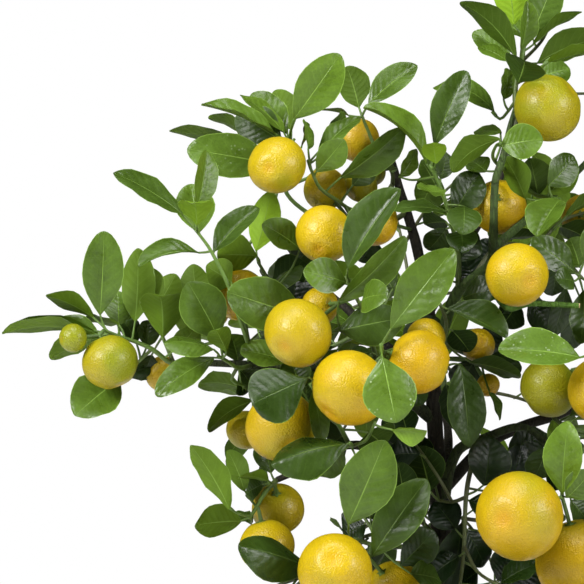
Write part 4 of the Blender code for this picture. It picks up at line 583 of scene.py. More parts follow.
# Where the photograph shows foliage all over: circles as (column, row, radius) in pixels
FULL_PLACES = ((325, 190, 24), (290, 300, 42), (340, 260, 40), (320, 350, 50), (345, 330, 60),
               (300, 410, 38), (400, 310, 36), (410, 365, 34), (365, 400, 40), (470, 215, 36),
               (520, 215, 34), (555, 215, 34), (515, 275, 34), (565, 250, 22), (470, 330, 28),
               (455, 400, 26), (550, 375, 34), (590, 400, 40), (430, 470, 20), (400, 530, 32),
               (360, 570, 30), (440, 560, 18), (520, 515, 46), (560, 450, 24), (570, 560, 46),
               (495, 455, 26), (210, 310, 28), (190, 340, 24), (240, 330, 24), (548, 108, 32),
               (540, 170, 26))

# Bunches: the spray or limb that carries each, the point where the stalks meet and the fruits
PHOTO_BUNCHES = {
    "fruit_far_left": ("spray_far_left", (99, 335, -48), [Fruit((73, 338), 14.5, -55),
            Fruit((110, 362), 28.3, -50)]),
    "fruit_left_shaded": ("spray_far_left", (177, 374, -29), [Fruit((163, 374), 18, -14)]),
    "fruit_left": ("limb", (250, 352, -30), [Fruit((240, 295), 27, -34)]),
    "fruit_upper_left": ("spray_upper_left", (290, 184, -34), [Fruit((277, 165), 29.5, -42)]),
    "fruit_upper_pair": ("spray_top_middle", (354, 225, -22), [Fruit((325, 189), 22, -10),
            Fruit((324, 234), 29, -54)]),
    "fruit_top_middle": ("spray_top_middle", (384, 164, 8), [Fruit((361, 186), 17, -1),
            Fruit((372, 172), 14, 21), Fruit((358, 140), 22, 28)]),
    "fruit_behind_leaf": ("limb", (398, 226, -12), [Fruit((374, 222), 24, -40)]),
    "fruit_middle_pair": ("spray_centre_left", (342, 302, -62), [Fruit((320, 306), 19, -48),
            Fruit((298, 333), 35, -77)]),
    "fruit_centre": ("spray_centre", (386, 352, -76), [Fruit((350, 388), 39, -85),
            Fruit((419, 362), 32.5, -76), Fruit((426, 338), 20, -46)]),
    "fruit_lower_left_pair": ("spray_lower_left", (262, 397, -30), [Fruit((281, 426), 36, -50),
            Fruit((246, 430), 20, -14)]),
    "fruit_hanging_upper": ("spray_hanging_left", (275, 484, -30), [Fruit((278, 509), 26.5, -16)]),
    "fruit_hanging_lower": ("spray_hanging_left", (258, 508, -42), [Fruit((267, 546), 28, -42)]),
    "fruit_low_front": ("spray_lower_front", (369, 556, -56), [Fruit((335, 571), 38, -84),
            Fruit((394, 588), 28, -42)]),
    "fruit_dark_centre": ("limb", (418, 490, -18), [Fruit((402, 486), 18, -22)]),
    "fruit_top_right": ("limb", (512, 136, -32), [Fruit((547.5, 108), 34.5, -40)]),
    "fruit_right_upper": ("limb", (494, 192, -30), [Fruit((499, 207), 27.5, -10)]),
    "fruit_right_middle": ("limb", (489, 262, -32), [Fruit((517, 275), 32, -61)]),
    "fruit_right_edge": ("spray_right_inner", (580, 214, 0), [Fruit((584, 217), 23, 12)]),
    "fruit_right_pair": ("spray_right_lower", (574, 370, -48), [Fruit((549, 388), 30, -48),
            Fruit((601, 390), 34, -72)]),
    "fruit_right_shaded": ("limb", (470, 360, 14), [Fruit((478, 345), 17, -8), Fruit((488, 385), 12, 4)]),
    "fruit_low_right_pair": ("spray_right_lower", (562, 496, -64),
            [Fruit((519.5, 516), 45, -90), Fruit((580, 562), 45, -60)]),
}

# Bunches out of the photograph, in mm: carrier, meeting point, then each fruit's centre and radius
GROWN_BUNCHES = {
    "fruit_right_front": ("spray_right", (170, -48, 430), (((160, -78, 412), 19), ((196, -62, 412), 17))),
    "fruit_right_side": ("spray_right", (182, 14, 486), (((206, -16, 486), 18), ((192, 36, 486), 16))),
    "fruit_back": ("spray_back", (-22, 142, 416), (((-4, 158, 412), 17), ((-42, 158, 397), 17))),
    "fruit_back_left": ("spray_left_back", (-113, 124, 463), (((-122, 110, 442), 12),
            ((-104, 134, 450), 14))),
    "fruit_low_left": ("spray_low", (-76, 14, 296), (((-66, 34, 268), 18), ((-92, -8, 276), 19))),
    "fruit_low_right": ("spray_low_right", (140, -8, 310), (((150, -32, 292), 19), ((128, 12, 284), 18))),
    "fruit_back_right": ("spray_back_right", (120, 104, 446), (((136, 120, 420), 19),
            ((110, 142, 442), 18))),
    "fruit_low_front_pair": ("spray_low_front", (20, -103, 262), (((12, -110, 236), 19),
            ((54, -104, 238), 18))),
}

# How light (from 0 to 1) and how young a leaf looks, by spray and number: the lightness is partly the leaf's
# own colour, partly painted shade on dark interior leaves and painted sheen on the palest
LEAF_LOOKS = {
    "spray_middle_shoot": {
        0: (0.40, 0.0), 2: (0.7, 0.35), 3: (0.60, 0.15), 500: (0.40, 0.0), 501: (0.30, 0.0)},
    "spray_left_shoot": {0: (0.50, 0.0), 3: (0.7, 0.35), 4: (0.60, 0.0), 5: (0.40, 0.0)},
    "spray_leader_top": {
        0: (0.45, 0.0), 1: (0.90, 0.0), 2: (0.70, 0.05), 3: (0.85, 0.80), 4: (0.60, 0.10), 5: (0.65, 0.0),
        6: (0.60, 0.05), 7: (0.50, 0.05), 8: (0.70, 0.15), 9: (0.20, 0.0), 12: (0.60, 0.15)},
    "spray_round_leaf": {0: (0.60, 0.20), 1: (0.8, 0.6), 500: (0.05, 0.0), 501: (0.02, 0.0)},
    "spray_top_middle": {2: (0.60, 0.0), 3: (0.70, 0.0)},
    "spray_right_centre": {1: (0.30, 0.0), 2: (0.25, 0.0), 3: (0.90, 0.0), 4: (0.30, 0.0)},
    "spray_low_centre": {3: (0.10, 0.0), 5: (0.05, 0.0)},
    "spray_right_inner": {2: (0.05, 0.0), 3: (0.10, 0.0)},
    "spray_far_left": {
        0: (0.80, 0.0), 8: (0.5, 0.15), 500: (0.25, 0.0), 501: (0.30, 0.0), 502: (0.10, 0.0),
        503: (0.15, 0.0)},
    "spray_upper_left": {5: (0.88, 0.0), 6: (0.86, 0.08), 500: (0.30, 0.0)},
    "spray_left_middle": {0: (0.86, 0.0)},
    "spray_centre": {0: (0.45, 0.10), 1: (0.95, 0.0)},
    "spray_centre_left": {0: (0.36, 0.0), 1: (0.65, 0.05), 5: (0.40, 0.0)},
    "spray_right_lower": {0: (0.92, 0.0), 1: (0.75, 0.15)},
    "spray_lower_left": {0: (0.20, 0.0), 3: (0.30, 0.0), 6: (0.70, 0.35)},
    "spray_lower_front": {0: (0.25, 0.0), 1: (0.50, 0.06), 2: (0.36, 0.0)},
}

# Leaves that aren't of the usual shape: how far towards the tip they are widest, and how blunt it is
LEAF_SHAPES = {("spray_lower_left", 0): (1.7, 0.42), ("spray_round_leaf", 3): (1.1, 0.48)}

# Leaves that only the looks have: most stand where the photograph shows one, some fill a dark gap
# The nearly black ones that fill a dark gap paint its shade
MORE_LEAVES = {
    "spray_far_left": (
        Leaf((137, 344), (120, 317), 28, 40, -26, 4), Leaf((147, 347), (147, 320), 26, 30, -24, 4),
        Leaf((152, 354), (140, 379), 28, 30, -22, 4), Leaf((128, 377), (150, 366), 26, 30, -22, 2),
        Leaf((100, 338), (58, 320), 28, 30, -36, 2), Leaf((118, 326), (117, 291), 34, 20, -34, 4),
        Leaf((96, 331), (4, 333), 34, 122, -36, -2, 12, 0.09)),
    "spray_upper_left": (
        Leaf((282, 142), (237, 115), 46, 24, -10, 4), Leaf((374, 238), (360, 262), 44, 40, 6, 4),
        Leaf((318, 236), (296, 262), 46, 40, 4, 4)),
    "spray_round_leaf": (
        Leaf((272, 284), (308, 266), 44, 150, -18, 4), Leaf((292, 304), (296, 262), 46, 30, -12, 4)),
    "spray_leader_top": (Leaf((538, 78), (570, 69), 34, 30, -26, 4),),
    "spray_left_middle": (
        Leaf((238, 364), (230, 334), 44, 40, -26, 4), Leaf((240, 370), (252, 388), 50, 40, -20, 4)),
    "spray_lower_left": (
        Leaf((346, 434), (330, 446), 50, 30, -34, 4), Leaf((368, 432), (384, 446), 50, 150, -50, 4)),
    "spray_lower_front": (Leaf((366, 524), (344, 536), 46, 30, -20, 4),),
    "spray_right_centre": (
        Leaf((474, 360), (458, 386), 44, 30, 14, 4), Leaf((482, 364), (522, 368), 34, 30, 18, 4)),
    "spray_middle_shoot": (
        Leaf((440, 180), (446, 152), 26, 30, -30, 2), Leaf((436, 186), (421, 160), 26, 150, -26, 4)),
    "spray_right_inner": (
        Leaf((566, 286), (552, 336), 30, 40, -20, 4), Leaf((582, 300), (566, 350), 34, 30, -8, 4),
        Leaf((530, 300), (502, 314), 24, 60, -2, 4), Leaf((580, 268), (570, 238), 40, 150, -20, 4),
        Leaf((476, 288), (464, 258), 44, 30, -4, 4)),
    "spray_low_centre": (
        Leaf((430, 470), (404, 440), 40, 150, -4, 4), Leaf((424, 440), (386, 446), 40, 30, 4, 4),
        Leaf((508, 452), (548, 434), 34, 30, 2, 4), Leaf((498, 582), (509, 550), 40, 30, -20, 4),
        Leaf((478, 572), (462, 584), 50, 40, -20, 4), Leaf((500, 586), (544, 572), 40, 30, -30, 4)),
}

# How green the twigs of a spray are, where they aren't as green as others
TWIG_GREENNESS = {
    "spray_low_centre": 0.25, "spray_right_inner": 0.3, "spray_crown_top": 0.3, "spray_back": 0.2,
    "spray_low": 0.2, "spray_top_middle": 0.7, "spray_right_centre": 0.4, "spray_lower_front": 0.6,
    "spray_round_leaf": 0.6, "spray_centre_left": 0.5,
}

# How green a fruit still is, by bunch and number
FRUIT_GREENNESS = {
    ("fruit_far_left", 0): 0.95, ("fruit_far_left", 1): 0.62, ("fruit_top_middle", 0): 0.7,
    ("fruit_top_middle", 1): 0.6, ("fruit_top_right", 0): 0.62, ("fruit_right_pair", 0): 0.85,
    ("fruit_low_right_pair", 0): 0.18, ("fruit_lower_left_pair", 0): 0.25,
    ("fruit_lower_left_pair", 1): 0.40, ("fruit_middle_pair", 1): 0.30,
    ("fruit_centre", 0): 0.05, ("fruit_centre", 1): 0.0, ("fruit_low_front", 0): 0.12,
    ("fruit_hanging_upper", 0): 0.35, ("fruit_upper_left", 0): 0.20, ("fruit_hanging_lower", 0): 0.15,
}

# Where the photograph shows a fruit's navel, in pixels
FRUIT_NAVELS = {
    ("fruit_middle_pair", 1): (282, 348), ("fruit_upper_pair", 1): (317, 250),
    ("fruit_lower_left_pair", 0): (292, 447), ("fruit_low_right_pair", 0): (498, 517),
    ("fruit_low_front", 0): (332, 556), ("fruit_upper_left", 0): (268, 168),
}

# The side on which a fruit is greenest, where the photograph shows it
FRUIT_GREEN_SIDES = {
    ("fruit_top_right", 0): (-0.6, -0.5, 0.6), ("fruit_upper_left", 0): (0.35, -0.5, -0.8),
    ("fruit_low_right_pair", 0): (0.5, -0.5, 0.7),
    ("fruit_right_middle", 0): (-0.9, -0.4, 0.1),
}

# How green the bark of a young limb is
LIMB_GREENNESS = {"pruned_stub": 1.0, "right": 0.2, "left": 0.15, "right_high": 0.4, "leader": 0.35}

# Which sprays and bunches are dressed as one piece
SPRAY_GROUPS = {
    "leaves_left": ("spray_far_left", "spray_left_middle", "spray_left_shoot"),
    "leaves_upper_left": ("spray_round_leaf", "spray_upper_left", "spray_top_middle"),
    "leaves_centre": ("spray_centre_left", "spray_centre", "spray_middle_shoot"),
    "leaves_lower_left": ("spray_lower_left", "spray_hanging_left", "spray_lower_front"),
    "leaves_leader": ("spray_leader_top", "spray_leader_middle", "spray_right_inner"),
    "leaves_right_centre": ("spray_right_centre", "spray_right_lower", "spray_low_centre"),
    "leaves_right": ("spray_right", "spray_right_top", "spray_crown_top"),
    "leaves_back": ("spray_back_right", "spray_back", "spray_left_back"),
    "leaves_low": ("spray_left_low", "spray_low_front", "spray_low_right", "spray_low"),
}
FRUIT_GROUPS = {
    "fruit_upper": ("fruit_upper_left", "fruit_upper_pair", "fruit_top_middle", "fruit_behind_leaf",
                    "fruit_top_right", "fruit_right_upper"),
    "fruit_middle": ("fruit_far_left", "fruit_left_shaded", "fruit_left", "fruit_middle_pair",
                     "fruit_centre"),
    "fruit_lower": ("fruit_lower_left_pair", "fruit_hanging_upper", "fruit_hanging_lower",
                    "fruit_low_front", "fruit_dark_centre"),
    "fruit_of_right": ("fruit_right_middle", "fruit_right_edge", "fruit_right_pair",
                       "fruit_right_shaded", "fruit_low_right_pair", "fruit_right_front",
                       "fruit_right_side"),
    "fruit_of_back": ("fruit_back", "fruit_back_left", "fruit_back_right"),
    "fruit_low": ("fruit_low_left", "fruit_low_right", "fruit_low_front_pair"),
}


def profile_at(t):
    """Half the blade's breadth at a share t of its length, as a share of its widest."""
    return max(math.sin(math.pi * t ** BLADE_SKEW), 0) ** BLADE_BLUNTNESS


def blade_section(blade, t):
    """A point on the midrib with the directions of each half and of the upper side there."""
    along = blade.tip - blade.base
    length = along.length
    axis = along / length
    slope = (axis + blade.up * (4 * blade.arch * (1 - 2 * t))).normalized()
    across = axis.cross(blade.up).normalized()
    upper = across.cross(slope).normalized()
    point = blade.base + along * t + blade.up * (length * blade.arch * 4 * t * (1 - t))
    rise = upper * math.sin(math.radians(blade.fold))
    out = across * math.cos(math.radians(blade.fold))
    return point, out + rise, rise - out, upper, math.cos(math.radians(blade.fold))


def blade_ring(blade, t, thick, margin):
    """Four points round the blade at a share of its length: left edge, top, right edge and underside."""
    point, right, left, upper, lean = blade_section(blade, t)
    half = blade.width / 2 * profile_at(t) + margin
    middle_up = upper * (thick / 2 / lean)
    return [point + left * half, point + middle_up, point + right * half, point - middle_up]


def length_of(route):
    """How long a route is."""
    return sum((end - start).length for start, end in zip(route, route[1:]))


def nearest_on(routes, point):
    """The nearest point to a point on any of some routes."""
    best = None
    for route in routes:
        for start, end in zip(route, route[1:]):
            step = end - start
            share = max(0, min(1, (point - start).dot(step) / step.length_squared))
            foot = start + step * share
            if best is None or (point - foot).length < (point - best).length:
                best = foot
    return best


def shortened(routes):
    """Routes without their last bit at both ends, so that what roots on them sits well inside."""
    made = []
    for route in routes:
        first = route[0] + (route[1] - route[0]).normalized() * ROOT_INSET
        last = route[-1] + (route[-2] - route[-1]).normalized() * ROOT_INSET
        made.append([first, *route[1:-1], last])
    return made


def photo_blade(leaf, routes, shift, twist):
    """A leaf of the photograph in space, moved in depth and turned a little to clear its neighbours."""
    base = seen(*leaf.base, leaf.depth + shift)
    tip = seen(*leaf.tip, leaf.depth + leaf.lean + shift)
    axis = (tip - base).normalized()
    view = (EYE - (base + tip) / 2).normalized()
    facing = (view - axis * view.dot(axis)).normalized()
    across = axis.cross(facing)
    lead = across.z if abs(across.z) > abs(across.x) else across.x
    if lead < 0:
        across = -across
    angle = math.radians(leaf.turn + twist)
    up = facing * math.cos(angle) + across * math.sin(angle)
    width = leaf.width * METRES_PER_PIXEL * (VIEW_DISTANCE + leaf.depth * MM) / VIEW_DISTANCE
    root = nearest_on(shortened(routes), base - axis * PETIOLE_LENGTH)
    return Blade(root, base, tip, up, width, leaf.fold, leaf.arch)


def photo_choices(leaf, routes):
    """A leaf of the photograph where it is drawn, then moved in depth or turned a little."""
    for twist in TWIST_TRIES:
        for shift in DEPTH_TRIES:
            yield photo_blade(leaf, routes, shift, twist)


def grown_blade(dice, route, travelled, turn, length):
    """A leaf that stands off its twig and turns its face up to the light."""
    total = length_of(route)
    left = min(travelled, total - ROOT_INSET)
    for start, end in zip(route, route[1:]):
        step = (end - start).length
        if left <= step:
            break
        left -= step
    axis = (end - start).normalized()
    root = start + axis * left
    side = axis.orthogonal().normalized()
    radial = side * math.cos(turn) + axis.cross(side) * math.sin(turn)
    opening = math.radians(dice.uniform(*LEAF_OPENING)) * (1 - LEAF_CLOSING * travelled / total)
    heading = axis * math.cos(opening) + radial * math.sin(opening)
    heading = (heading + Vector((0, 0, LEAF_RISE))).normalized()
    base = root + heading * dice.uniform(*PETIOLE_LIFT)
    drooping = (heading + Vector((0, 0, -dice.uniform(*LEAF_DROOP)))).normalized()
    tip = base + drooping * length
    outward = Vector((root.x, root.y, 0)).normalized()
    scatter = Vector([dice.uniform(-LEAF_SCATTER, LEAF_SCATTER) for _ in range(3)])
    wish = Vector((0, 0, LEAF_FACING_UP)) + outward * LEAF_FACING_OUT + scatter
    up = (wish - drooping * wish.dot(drooping)).normalized()
    width = length * dice.uniform(*LEAF_RATIO)
    return Blade(root, base, tip, up, width, dice.uniform(*LEAF_FOLD), dice.uniform(*LEAF_ARCH))


def grown_choices(node, number, index, route):
    """The places that a leaf may take on a grown twig, the best first."""
    first_turn = random.Random(f"{node} {number}").uniform(0, 2 * math.pi)
    dice = random.Random(f"{node} {number} {index}")
    for size in SIZE_TRIES:
        for nudge in TURN_TRIES:
            turn = first_turn + index * PHYLLOTAXIS + nudge
            length = dice.uniform(*LEAF_LENGTH) * size
            yield grown_blade(dice, route, FIRST_LEAF + index * LEAF_SPACING, turn, length)


def fruit_place(fruit):
    """A fruit's centre and radius in metres."""
    if isinstance(fruit, Fruit):
        spread = METRES_PER_PIXEL * (VIEW_DISTANCE + fruit.depth * MM) / VIEW_DISTANCE
        return seen(*fruit.centre, fruit.depth), fruit.radius * spread
    centre, radius = fruit
    return at(*centre), radius * MM


BUNCHES = {**PHOTO_BUNCHES, **GROWN_BUNCHES}
FRUIT_PLACES = [fruit_place(fruit) for _, _, fruits in BUNCHES.values() for fruit in fruits]


def clear_of_fruits(point):
    """A point moved in depth, so that a stem through it passes beside the fruits."""
    for centre, radius in FRUIT_PLACES:
        away = point - centre
        beside = math.hypot(away.x, away.z)
        reach = radius + STEM_CLEARANCE
        if away.length < reach:
            depth = math.sqrt(max(reach * reach - beside * beside, 0))
            point = Vector((point.x, centre.y + math.copysign(depth, away.y), point.z))
    return point


def limb_routes():
    """The middle lines of the trunk and its limbs."""
    return {name: [at(*point) for point in points] for name, (points, _, _) in LIMBS.items()}


def spray_plan(name):
    """The routes of a spray's twigs and their radii, each starting on the wood or on an earlier twig."""
    if name in PHOTO_SPRAYS:
        twigs = PHOTO_SPRAYS[name][0]
        routes = [[seen(*point) for point in twig.route] for twig in twigs]
        radii = [(twig.thick * MM, twig.thin * MM) for twig in twigs]
    else:
        routes = [[at(*point) for point in route] for route in GROWN_SPRAYS[name]]
        radii = [FIRST_TWIG_RADII] + [SIDE_TWIG_RADII] * (len(routes) - 1)
    drawn = []
    for route in routes:
        carriers = drawn or list(limb_routes().values())
        start = nearest_on(carriers, route[0])
        drawn.append([start, *[clear_of_fruits(point) for point in route[1:]]])
    return drawn, radii


class Pile:
    """Faces of one piece, gathered before its mesh is made."""

    def __init__(self):
        self.points = []
        self.faces = []
        self.slots = []
        self.uvs = []
        self.tones = []
        self.shifts = []
        self.borders = []

    def add(self, points, faces, slot, uvs, tone=0.5, shift=0.0, border=None):
        """Add a patch: its points, faces, material, a UV for each point and its own tone and colour shift."""
        start = len(self.points)
        self.points += points
        self.uvs += uvs
        self.tones += tone if isinstance(tone, list) else [tone] * len(points)
        self.shifts += shift if isinstance(shift, list) else [shift] * len(points)
        self.borders += border or [False] * len(points)
        self.faces += [tuple(index + start for index in face) for face in faces]
        self.slots += slot if isinstance(slot, list) else [slot] * len(faces)

    def object(self, name, materials):
        """The finished piece, in the scene."""
        mesh = bpy.data.meshes.new(name)
        mesh.from_pydata([tuple(point) for point in self.points], [], self.faces)
        for made in materials:
            mesh.materials.append(made)
        mesh.polygons.foreach_set("material_index", self.slots)
        mesh.polygons.foreach_set("use_smooth", [True] * len(self.faces))
        corners = np.empty(len(mesh.loops), dtype=np.int32)
        mesh.loops.foreach_get("vertex_index", corners)
        layer = mesh.uv_layers.new(name="place")
        layer.data.foreach_set("uv", np.array(self.uvs, dtype=np.float32)[corners].ravel())
        for label, values in (("tone", self.tones), ("shift", self.shifts)):
            carried = mesh.attributes.new(label, "FLOAT", "POINT")
            carried.data.foreach_set("value", np.array(values, dtype=np.float32))
        border = np.array(self.borders, dtype=bool)
        ends = np.empty(2 * len(mesh.edges), dtype=np.int32)
        mesh.edges.foreach_get("vertices", ends)
        sharp = mesh.attributes.new("sharp_edge", "BOOLEAN", "EDGE")
        sharp.data.foreach_set("value", border[ends[::2]] & border[ends[1::2]])
        mesh.update()
        piece = bpy.data.objects.new(name, mesh)
        bpy.context.scene.collection.objects.link(piece)
        return piece


def circle(count):
    """The angles of evenly spaced points round a circle."""
    return [2 * math.pi * number / count for number in range(count)]


def on_circle(radius, angle, height=0.0):
    """A point on a level circle round the Z axis."""
    return Vector((radius * math.cos(angle), radius * math.sin(angle), height))


def ring_faces(first, second, sides):
    """Faces between two rings of points, given the number of each ring's first point."""
    return [(first + n, second + n, second + (n + 1) % sides, first + (n + 1) % sides) for n in range(sides)]


def round_body(rings, sides):
    """Faces of a round body: its rings come first in its points, then the two that close its ends."""
    count = rings * sides
    starts = range(0, count, sides)
    faces = [face for start, end in zip(starts, starts[1:]) for face in ring_faces(start, end, sides)]
    last = count - sides
    for n in range(sides):
        following = (n + 1) % sides
        faces += [(count, n, following), (count + 1, last + following, last + n)]
    return faces


def smooth_line(points, step):
    """Points close together on a smooth curve through the given ones, with each one's share of the way."""
    line = []
    shares = []
    total = length_of(points)
    gone = 0.0
    for index in range(len(points) - 1):
        before = points[index - 1] if index else points[0] * 2 - points[1]
        start, end = points[index], points[index + 1]
        after = points[index + 2] if index + 2 < len(points) else end * 2 - start
        length = (end - start).length
        count = max(2, math.ceil(length / step))
        lead = (end - before) * (length / max((end - before).length, TINY))
        trail = (after - start) * (length / max((after - start).length, TINY))
        for number in range(count):
            t = number / count
            line.append(start * (2 * t ** 3 - 3 * t * t + 1) + end * (3 * t * t - 2 * t ** 3)
                        + lead * (t ** 3 - 2 * t * t + t) + trail * (t ** 3 - t * t))
            shares.append((gone + t * length) / total)
        gone += length
    line.append(points[-1])
    shares.append(1.0)
    return line, shares


def add_stem(pile, points, radii, slot, sides=6, step=0.004, swell=0.0, seed=0, tone=0.5, shift=0.0):
    """A round stem on a smooth curve through some points; radii gives its radius at both ends.

    swell makes knots and uneven bark, as a share of the radius. shift may be a function of the share of
    the way along the stem.
    """
    line, shares = smooth_line(points, step)
    side = (line[1] - line[0]).orthogonal().normalized()
    rings = []
    uvs = []
    shifts = []
    for index, (middle, share) in enumerate(zip(line, shares)):
        ahead = line[min(index + 1, len(line) - 1)] - line[max(index - 1, 0)]
        axis = ahead.normalized()
        side = (side - axis * side.dot(axis)).normalized()
        other = axis.cross(side)
        radius = radii[0] + (radii[1] - radii[0]) * share
        for number, angle in enumerate(circle(sides)):
            out = side * math.cos(angle) + other * math.sin(angle)
            place = (middle + out * KNOT_REACH) * KNOT_SCALE + Vector((seed, 0, 0))
            uneven = noise.noise(place) if swell else 0
            rings.append(middle + out * radius * (1 + swell * uneven))
            uvs.append((number / sides, share))
            shifts.append(shift(share) if callable(shift) else shift)
    last = (len(line) - 1) * sides
    faces = [(start + n, start + (n + 1) % sides, start + sides + (n + 1) % sides, start + sides + n)
             for start in range(0, last, sides) for n in range(sides)]
    faces.append(tuple(reversed(range(sides))))
    faces.append(tuple(range(last, last + sides)))
    pile.add(rings, faces, slot, uvs, tone, shifts)


def fine_surface(blade, dice, shape):
    """Points of a fine blade's upper side and underside, row by row, with their UVs."""
    skew, blunt = shape or (dice.uniform(*SKEW_RANGE), dice.uniform(*BLUNT_RANGE))
    waves = dice.uniform(*WAVE_COUNT)
    phase = dice.uniform(0, 2 * math.pi)
    height = dice.uniform(*WAVE_HEIGHT) * MM
    twist = dice.uniform(-BLADE_TWIST, BLADE_TWIST)
    cupping = dice.uniform(*BLADE_CUPPING)
    over, under, uvs = [], [], []
    for row in range(BLADE_ROWS + 1):
        t = 0.5 - 0.5 * math.cos(math.pi * (ROW_START + ROW_SPAN * row / BLADE_ROWS))
        point, right, left, upper, _ = blade_section(blade, t)
        power = BLADE_TAPER + (blunt - BLADE_TAPER) * t
        half = blade.width / 2 * max(math.sin(math.pi * t ** skew), 0) ** power
        for share in BLADE_COLUMNS:
            arm = right if share > 0 else left
            scallop = 1 + SCALLOP_DEPTH * math.sin(t * SCALLOP_PACE + phase) * (abs(share) > SCALLOPED_FROM)
            spot = point + arm * (half * abs(share) * scallop)
            start = phase if share > 0 else phase + 2
            wave = height * share * share * math.sin(start + 2 * math.pi * waves * t)
            curl = -half * cupping * share * share + twist * share * half * (t - TWIST_MIDDLE)
            spot += upper * (wave + curl)
            body = FINE_THICKNESS * (1 - share * share)
            over.append(spot + upper * body)
            under.append(spot - upper * body)
            uvs.append((0.5 + share / 2, t))
    return over, under, uvs


def add_blade(pile, blade, dice, tone, shift, shape=None):
    """A fine leaf: a thin closed blade, folded, arched and waved like a real one.

    shape says how far towards the tip it is widest and how blunt the tip is.
    """
    points, under, place = fine_surface(blade, dice, shape)
    columns = len(BLADE_COLUMNS)
    borders = [abs(share) == 1.0 for share in BLADE_COLUMNS] * (BLADE_ROWS + 1)
    border = list(borders)
    below = []
    for index, spot in enumerate(under):
        if borders[index]:
            below.append(index)
        else:
            below.append(len(points))
            points.append(spot)
            place.append(place[index])
            border.append(False)
    foot, tip = len(points), len(points) + 1
    points += [blade_section(blade, 0.0)[0], blade_section(blade, 1.0)[0]]
    place += [(0.5, 0.0), (0.5, 1.0)]
    border += [True, True]
    faces = []
    for row in range(BLADE_ROWS):
        for column in range(columns - 1):
            a = row * columns + column
            b, c, d = a + 1, a + 1 + columns, a + columns
            faces += [(a, b, c, d), (below[d], below[c], below[b], below[a])]
    for column in range(columns - 1):
        end = BLADE_ROWS * columns + column
        faces += [(foot, column + 1, column), (foot, below[column], below[column + 1]),
                  (tip, end, end + 1), (tip, below[end + 1], below[end])]
    kinds = [UPPER_SLOT, UNDER_SLOT] * (len(faces) // 2)
    pile.add(points, faces, kinds, place, tone, shift, border)


def add_leaf(pile, blade, dice, tone, shift, shape=None):
    """A leaf on its stalk."""
    slope = (blade_section(blade, 0.04)[0] - blade.base).normalized()
    span = (blade.base - blade.root).length
    start = (blade.base - blade.root).normalized()
    middle = blade.root + start * span * 0.5 + (start - slope) * span * STALK_BEND
    route = [blade.root, middle, blade.base + slope * STALK_OVERLAP]
    # A stalk is browner on a darker leaf, so it also carries the painted shade of leaves deep in the crown
    add_stem(pile, route, STALK_RADII, STALK_SLOT, sides=6, step=0.0015, tone=tone,
             shift=0.55 + 0.45 * tone)
    add_blade(pile, blade, dice, tone, shift, shape)


# Where the leaves are


def node_tree(name):
    """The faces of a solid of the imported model, ready to be searched."""
    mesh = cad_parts[name].data
    return BVHTree.FromPolygons([vertex.co.copy() for vertex in mesh.vertices],
                                [tuple(face.vertices) for face in mesh.polygons])


def is_found(blade, tree):
    """Whether a solid holds a leaf there."""
    probes = [point for t in BLADE_STATIONS for point in blade_ring(blade, t, BLADE_THICK, 0)]
    probes.append(blade.tip)
    hits = sum(tree.find_nearest(point, FOUND_WITHIN)[0] is not None for point in probes)
    return hits >= FOUND_SHARE * len(probes)


def leaf_box(blade):
    """The coarse shape of a blade: its corners, and its outline in four triangles."""
    edges = [blade_ring(blade, t, BLADE_THICK, 0)[::2] for t in BLADE_STATIONS]
    points = [blade.base, *edges[0], *edges[1], blade.tip]
    return points, [(0, 1, 2), (1, 3, 4), (1, 4, 2), (3, 5, 4)]


def held_leaves(name, routes):
    """The leaves that the solids of a spray hold, found again among their possible places."""
    tree = node_tree(name)
    held = []
    if name in PHOTO_SPRAYS:
        for number, leaf in enumerate(PHOTO_SPRAYS[name][1]):
            for blade in photo_choices(leaf, routes):
                if is_found(blade, tree):
                    held.append((number, blade))
                    break
        return held
    for number, route in enumerate(routes):
        count = int((length_of(route) - ROOT_INSET - FIRST_LEAF) / LEAF_SPACING) + 1
        for index in range(count):
            for blade in grown_choices(name, number, index, route):
                if is_found(blade, tree):
                    held.append((number * TWIG_NUMBERS + index, blade))
                    break
    return held


def outside_photo(point):
    """Whether a point is beyond the photograph's right, lower or upper edge."""
    column, row = pixel_of(point)
    edge = PHOTO_SIDE + PHOTO_MARGIN
    return column > edge or row > edge or row < -PHOTO_MARGIN


def is_hidden(blade, front):
    """Whether a leaf lies out of the photograph, behind what it shows or deep in its full places."""
    outline = [point for t in OUTLINE_STATIONS for point in blade_ring(blade, t, BLADE_THICK, 0)[:3]]
    for point in (blade.base, blade.tip, *outline):
        if outside_photo(point):
            continue
        column, row = pixel_of(point)
        full = any(math.hypot(column - c, row - r) < reach for c, r, reach in FULL_PLACES)
        if full and point.y > FULL_DEPTH:
            continue
        sight = point - EYE
        if not front.ray_cast(EYE, sight.normalized(), sight.length - SIGHT_MARGIN)[0]:
            return False
    return True


class Room:
    """The coarse leaves that stand in the crown, so that new leaves find free places."""

    def __init__(self):
        self.boxes = []

    def add(self, points, faces):
        """Remember a shape."""
        low = np.min([tuple(point) for point in points], axis=0)
        high = np.max([tuple(point) for point in points], axis=0)
        self.boxes.append((low, high, BVHTree.FromPolygons(points, faces)))

    def is_free(self, points, faces):
        """Whether a shape crosses nothing that was added and has no point in a fruit."""
        low = np.min([tuple(point) for point in points], axis=0)
        high = np.max([tuple(point) for point in points], axis=0)
        own = None
        for other_low, other_high, tree in self.boxes:
            if np.any(high < other_low) or np.any(low > other_high):
                continue
            own = own or BVHTree.FromPolygons(points, faces)
            if own.overlap(tree):
                return False
        return all((point - centre).length > radius for point in points for centre, radius in FRUIT_PLACES)


